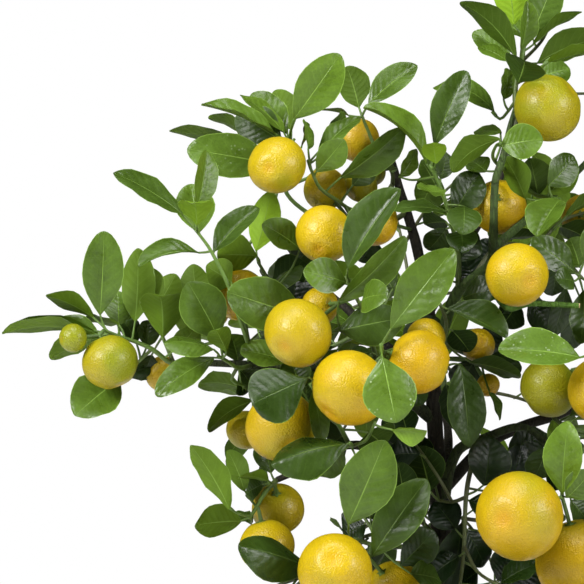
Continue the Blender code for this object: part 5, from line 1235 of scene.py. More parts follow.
def photo_front(held):
    """The leaves, wood and fruits that the photograph shows, as one set of faces to test sights on."""
    points, faces = [], []

    def put(new_points, new_faces):
        faces.extend([tuple(index + len(points) for index in face) for face in new_faces])
        points.extend(new_points)

    for name in PHOTO_SPRAYS:
        for _, blade in held[name]:
            put(*leaf_box(blade))
    for name in ["wood", *PHOTO_BUNCHES]:
        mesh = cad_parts[name].data
        put([vertex.co.copy() for vertex in mesh.vertices], [tuple(face.vertices) for face in mesh.polygons])
    return BVHTree.FromPolygons(points, faces)


def is_inside(points):
    """Whether points lie in the box of the solids."""
    low, high = CAD_BOX
    return all(low[axis] <= point[axis] <= high[axis] for point in points for axis in range(3))


def extra_leaves(name, routes, room, front):
    """More, smaller leaves along a spray's twigs, where they find room and don't show where none should."""
    made = []
    for number, route in enumerate(routes):
        first_turn = random.Random(f"{name} {number} more").uniform(0, 2 * math.pi)
        for index in range(int(length_of(route) / EXTRA_SPACING)):
            dice = random.Random(f"{name} {number} {index} more")
            for attempt in range(EXTRA_TRIES):
                length = dice.uniform(*EXTRA_LEAF_LENGTH) * (EXTRA_SHRINKING ** attempt)
                turn = first_turn + index * PHYLLOTAXIS + attempt * EXTRA_TURN
                blade = grown_blade(dice, route, EXTRA_START + index * EXTRA_SPACING, turn, length)
                shape = leaf_box(blade)
                if is_inside(shape[0]) and is_hidden(blade, front) and room.is_free(*shape):
                    room.add(*shape)
                    made.append((FILLER_NUMBERS + number * TWIG_NUMBERS + index, blade))
                    break
    return made


# Materials


class Wiring:
    """Short ways to add and join the nodes of a material or of a group."""

    def __init__(self, tree):
        self.tree = tree
        self.nodes = tree.nodes

    def node(self, kind, **values):
        """A node, with its properties set by name."""
        made = self.nodes.new(kind)
        for name, value in values.items():
            setattr(made, name, value)
        return made

    def link(self, source, target):
        """Join an output to an input."""
        self.tree.links.new(source, target)

    def put(self, value, socket):
        """Set an input to a value, or join an output to it."""
        if isinstance(value, bpy.types.NodeSocket):
            self.link(value, socket)
        elif socket.type == "RGBA":
            socket.default_value = (*value[:3], 1)
        else:
            socket.default_value = value

    def feed(self, node, **inputs):
        """Set or join a node's inputs; an underscore in a name stands for a space."""
        for name, value in inputs.items():
            self.put(value, node.inputs[name.replace("_", " ")])
        return node

    def maths(self, operation, *values):
        """A Math node's result."""
        made = self.node("ShaderNodeMath", operation=operation)
        for value, socket in zip(values, made.inputs):
            self.put(value, socket)
        return made.outputs[0]

    def times(self, first, second):
        """The product of two values."""
        return self.maths("MULTIPLY", first, second)

    def plus(self, first, second):
        """The sum of two values."""
        return self.maths("ADD", first, second)

    def minus(self, first, second):
        """The difference of two values."""
        return self.maths("SUBTRACT", first, second)

    def band(self, value, low, high, start=0.0, end=1.0):
        """A value carried smoothly from one range to another."""
        made = self.node("ShaderNodeMapRange", interpolation_type="SMOOTHSTEP")
        self.feed(made, Value=value, From_Min=low, From_Max=high, To_Min=start, To_Max=end)
        return made.outputs["Result"]

    def blend(self, share, first, second):
        """A mixed colour."""
        made = self.node("ShaderNodeMix", data_type="RGBA")
        for index, value in ((0, share), (6, first), (7, second)):
            self.put(value, made.inputs[index])
        return made.outputs[2]

    def place(self):
        """Where a point is on its object."""
        return self.node("ShaderNodeTexCoord").outputs["Object"]

    def stretched(self, place, scale):
        """Coordinates scaled along each axis."""
        return self.feed(self.node("ShaderNodeMapping"), Vector=place, Scale=scale).outputs[0]

    def own_place(self):
        """The two coordinates of a surface's own UV map."""
        parts = self.node("ShaderNodeSeparateXYZ")
        self.link(self.node("ShaderNodeUVMap", uv_map="place").outputs["UV"], parts.inputs[0])
        return parts.outputs["X"], parts.outputs["Y"]

    def noise(self, place, scale, detail=3.0):
        """A noise's value at some coordinates."""
        made = self.node("ShaderNodeTexNoise")
        self.feed(made, Vector=place, Scale=scale, Detail=detail, Roughness=0.55, Distortion=0.0)
        return made.outputs["Fac"]

    def cells(self, place, scale, randomness=1.0, feature="F1"):
        """The distance to the middle or, by feature, to the edge of scattered cells."""
        made = self.node("ShaderNodeTexVoronoi", feature=feature)
        return self.feed(made, Vector=place, Scale=scale, Randomness=randomness).outputs["Distance"]

    def own_value(self, name):
        """A value that each leaf or fruit carries."""
        return self.node("ShaderNodeAttribute", attribute_name=name).outputs["Fac"]

    def group(self, group, **inputs):
        """The outputs of a group that is placed here with its own values."""
        return self.feed(self.node("ShaderNodeGroup", node_tree=group), **inputs).outputs

    def mottled(self, colour, patch, grain, amount):
        """A colour made uneven, with the patches and the grain that do it."""
        return self.group(mottling(), Colour=colour, Patch_Size=patch, Grain_Size=grain, Amount=amount)


class Finish(Wiring):
    """The wiring of a new material, whose shader has its plain values set."""

    def __init__(self, name, roughness, specular, coat=0.0, coat_roughness=0.1):
        self.material = bpy.data.materials.new(name)
        self.material.use_nodes = True
        super().__init__(self.material.node_tree)
        self.shader = self.nodes["Principled BSDF"]
        self.feed(self.shader, Roughness=roughness, Metallic=0.0, Coat_Weight=coat,
                  Coat_Roughness=coat_roughness, Specular_IOR_Level=specular)

    def paint(self, colour):
        """Give the shader its colour."""
        self.link(colour, self.shader.inputs["Base Color"])

    def relief(self, height, strength, distance):
        """Raise the surface by a height."""
        bump = self.feed(self.node("ShaderNodeBump"), Height=height, Strength=strength, Distance=distance)
        self.link(bump.outputs["Normal"], self.shader.inputs["Normal"])


def new_group(name, inputs, outputs):
    """An empty node group, with its wiring, its inputs and its output node's sockets.

    inputs gives each input's default. A socket named Colour holds a colour, and any other a number.
    """
    group = bpy.data.node_groups.new(name, "ShaderNodeTree")
    for way, labels in (("INPUT", inputs), ("OUTPUT", outputs)):
        for label in labels:
            kind = "NodeSocketColor" if label == "Colour" else "NodeSocketFloat"
            socket = group.interface.new_socket(label, in_out=way, socket_type=kind)
            if way == "INPUT":
                socket.default_value = inputs[label]
    wiring = Wiring(group)
    return group, wiring, wiring.node("NodeGroupInput").outputs, wiring.node("NodeGroupOutput")


def blade_veins():
    """The veins of a leaf: masks of its midrib, side veins and margin, and the height they raise."""
    found = bpy.data.node_groups.get("Leaf Veins")
    if found:
        return found
    group, wiring, given, result = new_group(
        "Leaf Veins",
        {"Vein Pairs": 8.0, "Midrib Width": 0.035, "Vein Strength": 0.5, "Margin Width": 0.03},
        ("Midrib", "Veins", "Margin", "Height"))
    column, along = wiring.own_place()
    across = wiring.maths("ABSOLUTE", wiring.minus(column, 0.5))
    taper = wiring.times(given["Midrib Width"], wiring.band(along, 0.0, 1.0, 1.0, 0.25))
    midrib = wiring.band(across, 0.0, taper, 1.0, 0.0)
    count = wiring.times(wiring.minus(along, wiring.times(across, 0.42)), given["Vein Pairs"])
    saw = wiring.maths("PINGPONG", count, 0.5)
    fade = wiring.band(across, 0.30, 0.49, 1.0, 0.0)
    veins = wiring.times(wiring.times(wiring.band(saw, 0.0, 0.11, 1.0, 0.0), fade), given["Vein Strength"])
    margin = wiring.band(across, wiring.minus(0.5, given["Margin Width"]), 0.5, 0.0, 1.0)
    pillow = wiring.band(saw, 0.0, 0.5, 0.0, 0.5)
    height = wiring.plus(wiring.times(midrib, -0.8), wiring.times(pillow, fade))
    wiring.feed(result, Midrib=midrib, Veins=veins, Margin=margin, Height=height)
    return group


def mottling():
    """Uneven colour: two noises of different size that lighten and darken a colour."""
    found = bpy.data.node_groups.get("Mottling")
    if found:
        return found
    group, wiring, given, result = new_group(
        "Mottling",
        {"Colour": (0.5, 0.5, 0.5, 1), "Patch Size": 0.02, "Grain Size": 0.002, "Amount": 0.25},
        ("Colour", "Patches", "Grain"))
    place = wiring.place()
    patches = wiring.noise(place, wiring.maths("DIVIDE", 1.0, given["Patch Size"]), 3.0)
    grain = wiring.noise(place, wiring.maths("DIVIDE", 1.0, given["Grain Size"]), 2.0)
    both = wiring.plus(wiring.times(patches, 0.7), wiring.times(grain, 0.3))
    swing = wiring.times(wiring.minus(both, 0.5), 4.0)
    gain = wiring.plus(1.0, wiring.times(swing, given["Amount"]))
    scaled = wiring.node("ShaderNodeVectorMath", operation="SCALE")
    wiring.link(given["Colour"], scaled.inputs[0])
    wiring.link(gain, scaled.inputs["Scale"])
    wiring.feed(result, Colour=scaled.outputs[0], Patches=patches, Grain=grain)
    return group


def wax_specks(finish, tone):
    """A mask of small pale specks on the palest leaves."""
    place = finish.place()
    dots = finish.band(finish.cells(place, 460.0), 0.10, 0.32, 1.0, 0.0)
    patches = finish.band(finish.noise(place, 90.0), 0.50, 0.60)
    share = finish.times(finish.times(dots, patches), finish.band(tone, 0.86, 0.90))
    return finish.times(share, 0.45)


def leaf_upper(settings):
    """The glossy upper face of a leaf."""
    finish = Finish("leaf_upper", 0.34, specular=0.30)
    tone = finish.own_value("tone")
    # The tone blends from a darker green, which also paints shade on leaves deep in the crown, to the lighter
    # green
    deep = finish.blend(tone, settings.leaf_dark_and_shade, settings.leaf_green)
    colour = finish.blend(finish.own_value("shift"), deep, settings.leaf_young)
    mottled = finish.mottled(colour, patch=0.012, grain=0.0012, amount=0.42)
    veins = finish.group(blade_veins(), Vein_Pairs=8.0, Midrib_Width=0.030, Vein_Strength=0.06,
                         Margin_Width=0.028)
    # The veins darken with the leaf's tone, and so with its painted shade
    vein_colour = finish.blend(finish.band(tone, 0.0, 0.7, 0.15, 1.0), settings.leaf_dark_and_shade, settings.leaf_vein)
    lines = finish.maths("MAXIMUM", finish.times(veins["Midrib"], 0.75), finish.times(veins["Margin"], 0.80))
    colour = finish.blend(finish.maths("MAXIMUM", lines, veins["Veins"]), mottled["Colour"], vein_colour)
    finish.paint(finish.blend(wax_specks(finish, tone), colour, settings.leaf_speck))
    finish.feed(finish.shader, Roughness=finish.band(mottled["Patches"], 0.3, 0.7, 0.26, 0.44))
    patchy = finish.plus(mottled["Patches"], finish.times(mottled["Grain"], 0.1))
    finish.relief(finish.plus(finish.times(veins["Height"], 0.20), patchy), strength=0.5, distance=0.0018)
    return finish.material


def leaf_under(settings):
    """The paler, duller underside of a leaf, with raised veins."""
    finish = Finish("leaf_under", 0.60, specular=0.14)
    # The tone also paints shade on the undersides of leaves deep in the crown
    pale = finish.blend(finish.own_value("tone"), settings.under_dark_and_shade, settings.under_green)
    colour = finish.blend(finish.own_value("shift"), pale, settings.leaf_young)
    mottled = finish.mottled(colour, patch=0.012, grain=0.0010, amount=0.22)
    veins = finish.group(blade_veins(), Vein_Pairs=8.0, Midrib_Width=0.040, Vein_Strength=0.10,
                         Margin_Width=0.022)
    colour = finish.blend(veins["Veins"], mottled["Colour"], settings.under_vein)
    lines = finish.maths("MAXIMUM", finish.times(veins["Midrib"], 0.8), finish.times(veins["Margin"], 0.6))
    finish.paint(finish.blend(lines, colour, settings.under_vein))
    finish.relief(finish.times(veins["Height"], -0.6), strength=0.4, distance=0.0006)
    return finish.material


def twig_bark(settings):
    """Green young twigs that turn brown towards the wood."""
    finish = Finish("twig_bark", 0.5, specular=0.4)
    colour = finish.blend(finish.own_value("shift"), settings.twig_brown, settings.twig_green)
    mottled = finish.mottled(colour, patch=0.006, grain=0.0009, amount=0.35)
    finish.paint(mottled["Colour"])
    finish.relief(mottled["Grain"], strength=0.4, distance=0.0004)
    return finish.material


def limb_bark(settings):
    """Dark, rough bark with fine cracks and paler lenticels."""
    finish = Finish("limb_bark", 0.75, specular=0.3)
    youth = finish.own_value("shift")
    base = finish.blend(youth, settings.bark, settings.bark_green)
    mottled = finish.mottled(base, patch=0.012, grain=0.0012, amount=0.55)
    place = finish.place()
    edges = finish.cells(finish.stretched(place, (1.0, 1.0, 0.22)), 420.0, feature="DISTANCE_TO_EDGE")
    cracks = finish.band(edges, 0.0, 0.12, 1.0, 0.0)
    lenticels = finish.band(finish.cells(place, 240.0), 0.10, 0.22, 1.0, 0.0)
    dark = finish.times(finish.times(cracks, finish.minus(1.0, youth)), 0.6)
    colour = finish.blend(dark, mottled["Colour"], settings.bark_crack)
    finish.paint(finish.blend(finish.times(lenticels, 0.5), colour, settings.bark_light))
    finish.relief(finish.minus(mottled["Grain"], cracks), strength=0.6, distance=0.0008)
    return finish.material


def cut_wood(settings):
    """The pale end of a cut branch."""
    finish = Finish("cut_wood", 0.75, specular=0.25)
    finish.paint(finish.mottled(settings.cut_wood, patch=0.004, grain=0.0006, amount=0.4)["Colour"])
    return finish.material


def fruit_peel(settings):
    """Fruit skin: orange, greener at the stalk, with pores and a waxy shine."""
    finish = Finish("fruit_peel", 0.40, specular=0.32, coat=0.14, coat_roughness=0.20)
    # The tone mixes ripeness with painted shade on the underside, towards amber
    ripe = finish.blend(finish.own_value("tone"), settings.fruit_amber_and_shade, settings.fruit_orange)
    _, towards_stalk = finish.own_place()
    around_stalk = finish.band(towards_stalk, 0.70, 1.0, 0.0, 0.35)
    share = finish.maths("MINIMUM", finish.plus(finish.own_value("shift"), around_stalk), 1.0)
    colour = finish.blend(share, ripe, settings.fruit_green)
    mottled = finish.mottled(colour, patch=0.009, grain=0.0014, amount=0.12)
    place = finish.place()
    pits = finish.band(finish.cells(place, 700.0, 0.8), 0.0, 0.45, 1.0, 0.0)
    finish.paint(finish.blend(finish.times(pits, 0.05), mottled["Colour"], settings.fruit_pore))
    pebbles = finish.noise(place, 1250.0, 0.0)
    finish.relief(finish.minus(pebbles, finish.times(pits, 0.25)), strength=0.48, distance=0.0007)
    return finish.material


def calyx(settings):
    """The small green star where the stalk meets the fruit."""
    finish = Finish("calyx", 0.6, specular=0.3)
    finish.paint(finish.mottled(settings.calyx_green, patch=0.003, grain=0.0006, amount=0.3)["Colour"])
    return finish.material


def red_clay(settings):
    """Fired clay: matte, lightly mottled, with turning lines and pale bloom."""
    finish = Finish("red_clay", 0.82, specular=0.25)
    mottled = finish.mottled(settings.clay, patch=0.045, grain=0.0014, amount=0.20)
    place = finish.place()
    lines = finish.noise(finish.stretched(place, (0.6, 0.6, 9.0)), 38.0, 4.0)
    bloom = finish.band(finish.noise(place, 16.0, 5.0), 0.52, 0.78, 0.0, 0.35)
    colour = finish.blend(bloom, mottled["Colour"], settings.clay_bloom)
    finish.paint(finish.blend(finish.band(lines, 0.55, 0.75, 0.0, 0.14), colour, settings.clay_dark))
    fine = finish.times(mottled["Grain"], 0.3)
    finish.relief(finish.plus(finish.times(lines, 0.8), fine), strength=0.35, distance=0.0008)
    return finish.material


def potting_soil(settings):
    """Dark crumbly soil."""
    finish = Finish("potting_soil", 0.95, specular=0.15)
    mottled = finish.mottled(settings.soil, patch=0.008, grain=0.0014, amount=0.75)
    light = finish.band(finish.own_value("tone"), 0.5, 1.0, 0.0, 0.8)
    finish.paint(finish.blend(light, mottled["Colour"], settings.soil_light))
    finish.relief(mottled["Grain"], strength=0.8, distance=0.0012)
    return finish.material


def pale_floor(settings):
    """A plain pale floor that turns white, for the camera alone, away from the pot."""
    finish = Finish("pale_floor", 0.9, specular=0.2)
    place = finish.place()
    shade = finish.band(finish.noise(place, 3.0), 0.3, 0.7, 0.0, 1.0)
    finish.paint(finish.blend(shade, settings.floor, tuple(value * FLOOR_SHADE for value in settings.floor)))
    from_pot = finish.node("ShaderNodeVectorMath", operation="LENGTH")
    finish.link(place, from_pot.inputs[0])
    far = finish.band(from_pot.outputs["Value"], *FLOOR_FADE)
    eye = finish.node("ShaderNodeLightPath").outputs["Is Camera Ray"]
    white = finish.feed(finish.node("ShaderNodeEmission"), Color=(1, 1, 1), Strength=1.0)
    fading = finish.node("ShaderNodeMixShader")
    sources = (finish.times(far, eye), finish.shader.outputs[0], white.outputs[0])
    for source, socket in zip(sources, fading.inputs):
        finish.link(source, socket)
    finish.link(fading.outputs[0], finish.nodes["Material Output"].inputs["Surface"])
    return finish.material


# Pieces


def put_piece(piece, slot, *nodes):
    """Fix a finished piece to the model in place of its solids."""
    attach(piece, ROOT)
    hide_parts(*nodes)


def turned_piece(name, profile, sides, made):
    """A body turned about Z from its profile, which starts and ends on the axis."""
    pile = Pile()
    points, uvs = [], []
    for radius, height in profile[1:-1]:
        for number, angle in enumerate(circle(sides)):
            points.append(on_circle(radius, angle, height))
            uvs.append((number / sides, height))
    points += [Vector((0, 0, profile[0][1])), Vector((0, 0, profile[-1][1]))]
    uvs += [(0, 0), (0, 0)]
    pile.add(points, round_body(len(profile) - 2, sides), 0, uvs)
    return pile.object(name, [made])


def pot_inside(height):
    """The pot's inner radius at a height."""
    share = (height - POT_FLOOR) / (POT_HEIGHT - POT_RIM_DEPTH - POT_FLOOR)
    return POT_FLOOR_RADIUS + (POT_INNER_RADIUS - POT_FLOOR_RADIUS) * min(share, 1)


def rounded(corner, before, after, radius, steps):
    """Points of a small arc that rounds a corner of a profile."""
    corner, before, after = Vector(corner), Vector(before), Vector(after)
    start = corner + (before - corner).normalized() * radius
    end = corner + (after - corner).normalized() * radius
    return [tuple(start * (1 - t) ** 2 + corner * (2 * t * (1 - t)) + end * t * t)
            for t in (step / steps for step in range(steps + 1))]


def build_pot(settings):
    """The clay pot, with a rolled rim and softened edges."""
    rim_foot = POT_HEIGHT - POT_RIM_DEPTH
    corners = [(POT_INNER_RADIUS, rim_foot - POT_INNER_STRAIGHT), (POT_INNER_RADIUS, POT_HEIGHT),
               (POT_RIM_RADIUS, POT_HEIGHT), (POT_RIM_RADIUS, rim_foot),
               (POT_NECK_RADIUS, rim_foot - POT_RIM_SLOPE), (POT_FOOT_RADIUS, 0.0), (0.0, 0.0)]
    profile = [(0, POT_FLOOR), (POT_FLOOR_RADIUS, POT_FLOOR), corners[0]]
    for before, corner, after, radius in zip(corners, corners[1:], corners[2:], POT_ROUNDINGS):
        profile += rounded(corner, before, after, radius, 6 if radius == RIM_ROUNDING else 3)
    profile.append((0, 0))
    piece = turned_piece("clay_pot", profile, POT_SIDES, red_clay(settings))
    put_piece(piece, "terracotta", "pot")


def soil_level(share):
    """The soil's height at a share of the way from the trunk to the pot."""
    return SOIL_TOP + SOIL_MOUND * (1 - 1.5 * share)


def build_soil(settings):
    """Crumbly soil: an uneven top with loose crumbs, round the trunk's foot."""
    pile = Pile()
    sides = SOIL_SIDES
    reach = pot_inside(SOIL_TOP) - GAP
    breadth = reach - TRUNK_HOLE_RADIUS
    points, uvs = [], []
    for ring in range(SOIL_RINGS + 1):
        radius = TRUNK_HOLE_RADIUS + breadth * ring / SOIL_RINGS
        share = (radius - TRUNK_HOLE_RADIUS) / breadth
        for number, angle in enumerate(circle(sides)):
            spot = on_circle(radius, angle)
            clod = sum(uneven(spot, Vector((place, 0, 0)), height, scale)
                       for place, height, scale in SOIL_CLODS)
            points.append(spot + Vector((0, 0, soil_level(share) - SOIL_SINK + clod)))
            uvs.append((number / sides, share))
    walls = [(reach, SOIL_TOP - SOIL_EDGE_DEPTH), (pot_inside(POT_FLOOR) - GAP, POT_FLOOR + GAP),
             (TRUNK_HOLE_RADIUS, POT_FLOOR + GAP)]
    for radius, height in walls:
        points += [on_circle(radius, angle, height) for angle in circle(sides)]
        uvs += [(number / sides, 0) for number in range(sides)]
    starts = [*range(0, len(points), sides), 0]
    faces = [face for start, end in zip(starts, starts[1:]) for face in ring_faces(start, end, sides)]
    pile.add(points, faces, 0, uvs, 0.2)
    dice = random.Random("crumbs")
    for _ in range(CRUMB_COUNT):
        angle = dice.uniform(0, 2 * math.pi)
        radius = reach * math.sqrt(dice.uniform(*CRUMB_SPREAD))
        size = dice.uniform(*CRUMB_SIZE)
        if radius > reach - CRUMB_MARGIN:
            continue
        share = (radius - TRUNK_HOLE_RADIUS) / breadth
        add_crumb(pile, on_circle(radius, angle, soil_level(share) - CRUMB_SINK + size * 0.2), size, dice)
    piece = pile.object("soil_in_pot", [potting_soil(settings)])
    put_piece(piece, "potting_soil", "soil")


def add_crumb(pile, middle, size, dice):
    """One loose crumb of soil or a bit of bark."""
    stretch = Vector((dice.uniform(0.8, 1.9), dice.uniform(0.7, 1.2), dice.uniform(0.5, 0.9)))
    turn = Matrix.Rotation(dice.uniform(0, math.pi), 3, "Z")
    corners = [(0, 0, 1), (0, 0, -1)]
    for height, start in ((0.5, 0.0), (-0.5, 0.6)):
        wide = math.sqrt(1 - height * height)
        corners += [on_circle(wide, start + angle, height) for angle in circle(5)]
    points = []
    for corner in corners:
        spot = Vector(corner) * dice.uniform(0.8, 1.15)
        points.append(middle + turn @ Vector([spot[axis] * stretch[axis] * size for axis in range(3)]))
    faces = []
    for n in range(5):
        m = (n + 1) % 5
        faces += [(0, 2 + n, 2 + m), (2 + n, 7 + n, 2 + m), (2 + m, 7 + n, 7 + m), (1, 7 + m, 7 + n)]
    pile.add(points, faces, 0, [(0, 0)] * len(points), dice.random())


def build_wood(settings):
    """The trunk, the limbs and the cut stub, as smooth tapering stems with uneven bark."""
    pile = Pile()
    for number, (name, (points, thick, thin)) in enumerate(LIMBS.items()):
        route = [at(*point) for point in points]
        if name == "trunk":
            route[0] = Vector((0, 0, SOIL_TOP - TRUNK_HOLE_DEPTH + GAP))
        add_stem(pile, route, (thick * MM, thin * MM), BARK_SLOT, sides=20 if name == "trunk" else 12,
                 step=0.003, swell=0.16, seed=number * 5, shift=LIMB_GREENNESS.get(name, 0.0))
        if name == "pruned_stub":
            end = route[-1]
            axis = (route[-1] - route[-2]).normalized()
            add_stem(pile, [end - axis * CUT_DEPTH, end + axis * CUT_HEIGHT],
                     (thin * MM * 0.98, thin * MM * 0.86), CUT_SLOT, sides=12, step=0.001)
    piece = pile.object("limbs_and_trunk", [limb_bark(settings), cut_wood(settings)])
    put_piece(piece, "bark", "wood")


def add_twigs(pile, name, routes, radii):
    """The twigs of a spray, browner where they start."""
    youth = TWIG_GREENNESS.get(name, 0.9)
    for number, (route, ends) in enumerate(zip(routes, radii)):
        add_stem(pile, route, ends, STALK_SLOT, sides=8, step=0.004, swell=0.12, seed=number,
                 shift=lambda share: youth * (0.35 + 0.65 * min(share * 2, 1)))


def build_leaves(settings):
    """Every spray: its twigs and its leaves, in a piece for each group of sprays."""
    plans = {name: spray_plan(name) for name in (*PHOTO_SPRAYS, *GROWN_SPRAYS)}
    held = {name: held_leaves(name, plans[name][0]) for name in plans}
    front = photo_front(held)
    room = Room()
    for name in plans:
        for _, blade in held[name]:
            room.add(*leaf_box(blade))
    materials = [leaf_upper(settings), leaf_under(settings), twig_bark(settings)]
    count = 0
    for group, names in SPRAY_GROUPS.items():
        pile = Pile()
        for name in names:
            routes, radii = plans[name]
            add_twigs(pile, name, routes, radii)
            more = [(PLACED_NUMBERS + number, photo_blade(leaf, routes, 0, 0))
                    for number, leaf in enumerate(MORE_LEAVES.get(name, ()))]
            for number, blade in held[name] + more + extra_leaves(name, routes, room, front):
                dice = random.Random(f"{name} {number} look")
                tone, youth = leaf_look(name, number, blade, dice)
                add_leaf(pile, blade, dice, tone, youth, LEAF_SHAPES.get((name, number)))
                count += 1
        piece = pile.object(group, materials)
        put_piece(piece, "leaf", *names)
    shown = sum(len(leaves) for leaves in held.values())
    if shown < FEWEST_HELD:
        raise RuntimeError(f"only {shown} leaves of the solids were found again")
    print("leaves", count, "of them held by the solids", shown)


def leaf_look(name, number, blade, dice):
    """How light and how young a leaf looks: those that grow deep in the crown are the darkest, with painted
    shade.
    """
    if number in LEAF_LOOKS.get(name, ()):
        return LEAF_LOOKS[name][number]
    middle = (blade.base + blade.tip) / 2
    above = max(middle.z - CROWN_HEART_HEIGHT, 0)
    reach = math.hypot(middle.x / CROWN_WIDTH, middle.y / CROWN_DEPTH, above / CROWN_HEIGHT)
    # Painted shade: the nearer a leaf lies to the heart of the crown, the darker its colour
    painted_lightness = max(0, min((reach - PAINTED_SHADE_HEART) / LIGHTENING_REACH, 1)) ** 1.3
    tone = 0.90 * painted_lightness + dice.uniform(*TONE_SCATTER)
    youth = dice.uniform(*YOUTH_SCATTER) if number < PLACED_NUMBERS and reach > YOUNG_REACH else 0.0
    return max(0.0, min(tone, LIGHTEST_TONE)), youth


def uneven(place, seed, height, scale):
    """How much a noise raises a surface at a place."""
    return height * noise.noise(place * scale + seed)


def swelling(angle, height, place, width):
    """How high a soft ring stands at an angle, where its crest lies at another angle."""
    return height * math.exp(-((angle - place) / width) ** 2)


def add_fruit(pile, centre, radius, axis, navel_side, dice, green, greener):
    """A round fruit with a dimpled stalk end, a small navel and faint unevenness, and its calyx.

    It is greener on the side that greener points to, and painted shade makes its underside a deeper orange,
    painted light its top a brighter one.
    """
    columns, rows = FRUIT_COLUMNS, FRUIT_ROWS
    turn = axis.to_track_quat("Z", "Y").to_matrix()
    spin = Matrix.Rotation(dice.uniform(0, 2 * math.pi), 3, "Z")
    seed = Vector((dice.uniform(0, 50), 0, 0))
    ripeness = dice.uniform(*RIPENESS)
    points, uvs, tones, shifts = [], [], [], []
    for row in range(1, rows):
        polar = math.pi * row / rows
        for column, angle in enumerate(circle(columns)):
            out = on_circle(math.sin(polar), angle, math.cos(polar))
            side = turn @ (spin @ out)
            from_navel = side.angle(navel_side)
            dimple = swelling(polar, *STALK_DIMPLE) + swelling(from_navel, *NAVEL_DIMPLE)
            collar = swelling(polar, *STALK_COLLAR) + swelling(from_navel, *NAVEL_COLLAR)
            size = radius * (1 - dimple + collar + uneven(out, seed, *FRUIT_BUMPS)
                             + uneven(out, seed, *FRUIT_RIPPLES))
            spot = spin @ Vector((out.x * size, out.y * size, out.z * size * FRUIT_FLATTENING))
            points.append(centre + turn @ spot)
            uvs.append((column / columns, 1 - row / rows))
            patch = 0.5 + noise.noise(side * 1.3 + seed)
            near = swelling(from_navel, *NAVEL_STAIN)
            # Painted shade: the lower a point faces, the deeper its orange
            tone = ripeness + UNDERSIDE_PAINTED_SHADE * side.z + PATCHINESS * (patch - 0.5) - STAIN_DEPTH * near
            tones.append(max(0, min(tone, 1)))
            greening = SIDE_GREENING * max(side.dot(greener), 0) ** 1.5 * patch
            shifts.append(max(0, min(green + greening - STAIN_YELLOWING * near, 1)))
    crown = centre + turn @ Vector((0, 0, radius * FRUIT_FLATTENING * 0.93))
    low = NAVEL_DIMPLE[0] if (-axis).angle(navel_side) < 0.1 else 0.0
    navel = centre - turn @ Vector((0, 0, radius * FRUIT_FLATTENING * (0.998 - low)))
    points += [crown, navel]
    uvs += [(0.5, 1.0), (0.5, 0.0)]
    tones += [ripeness, ripeness]
    shifts += [green, green]
    pile.add(points, round_body(rows - 1, columns), PEEL_SLOT, uvs, tones, shifts)
    add_calyx(pile, crown, turn, radius, dice)


def add_calyx(pile, crown, turn, radius, dice):
    """Five short blunt lobes round the stalk's end."""
    points = [crown + turn @ Vector((0, 0, CALYX_TOP))]
    start = dice.uniform(0, 2 * math.pi)
    for number in range(10):
        angle = start + math.pi * number / 5
        length, rise = CALYX_LOBE if number % 2 == 0 else CALYX_NOTCH
        reach = length * min(radius / CALYX_FRUIT_RADIUS, 1.1)
        points.append(crown + turn @ on_circle(reach, angle, rise))
    points.append(crown - turn @ Vector((0, 0, CALYX_FOOT)))
    faces = []
    for number in range(10):
        following = (number + 1) % 10
        faces += [(0, 1 + number, 1 + following), (11, 1 + following, 1 + number)]
    pile.add(points, faces, CALYX_SLOT, [(0, 0)] * len(points))


def navel_of(name, number, centre, radius):
    """The side of a fruit on which the photograph shows its navel, or None."""
    if (name, number) not in FRUIT_NAVELS:
        return None
    column, row = FRUIT_NAVELS[name, number]
    spread = METRES_PER_PIXEL * (VIEW_DISTANCE + centre.y) / VIEW_DISTANCE
    middle = pixel_of(centre)
    across = (column - middle[0]) * spread
    up = (middle[1] - row) * spread
    return Vector((across, -math.sqrt(max(radius ** 2 - across ** 2 - up ** 2, 0)), up)).normalized()


def build_fruit(settings):
    """Every bunch: round fruits, each with its calyx, on green stalks."""
    plans = {name: spray_plan(name)[0] for name in (*PHOTO_SPRAYS, *GROWN_SPRAYS)}
    plans["limb"] = list(limb_routes().values())
    materials = [fruit_peel(settings), calyx(settings), twig_bark(settings)]
    for group, names in FRUIT_GROUPS.items():
        pile = Pile()
        for name in names:
            carrier, meeting, fruits = BUNCHES[name]
            joint = seen(*meeting) if isinstance(fruits[0], Fruit) else at(*meeting)
            foot = nearest_on(plans[carrier], joint)
            for number, (centre, radius) in enumerate(map(fruit_place, fruits)):
                dice = random.Random(f"{name} {number}")
                axis = (joint - centre).normalized()
                green = FRUIT_GREENNESS.get((name, number), dice.uniform(0.0, 0.15))
                # The greener side most often faces down, which also paints shade on a fruit's lower side
                greener = (dice.uniform(-1, 1), dice.uniform(-0.6, 0.6), dice.uniform(-1, 0.2))
                greener = Vector(FRUIT_GREEN_SIDES.get((name, number), greener)).normalized()
                navel_side = navel_of(name, number, centre, radius) or -axis
                add_fruit(pile, centre, radius, axis, navel_side, dice, green, greener)
                crown = centre + axis * radius * STALK_REACH
                bend = joint + (joint - foot) * JOINT_OVERRUN
                route = [foot, bend, (bend + crown) / 2 + axis * STALK_RISE, crown]
                add_stem(pile, route, FRUIT_STALK_RADII, STALK_SLOT, sides=8, step=0.002, swell=0.1,
                         seed=number, shift=0.75)
        piece = pile.object(group, materials)
        put_piece(piece, "fruit_skin", *names)


# The stage


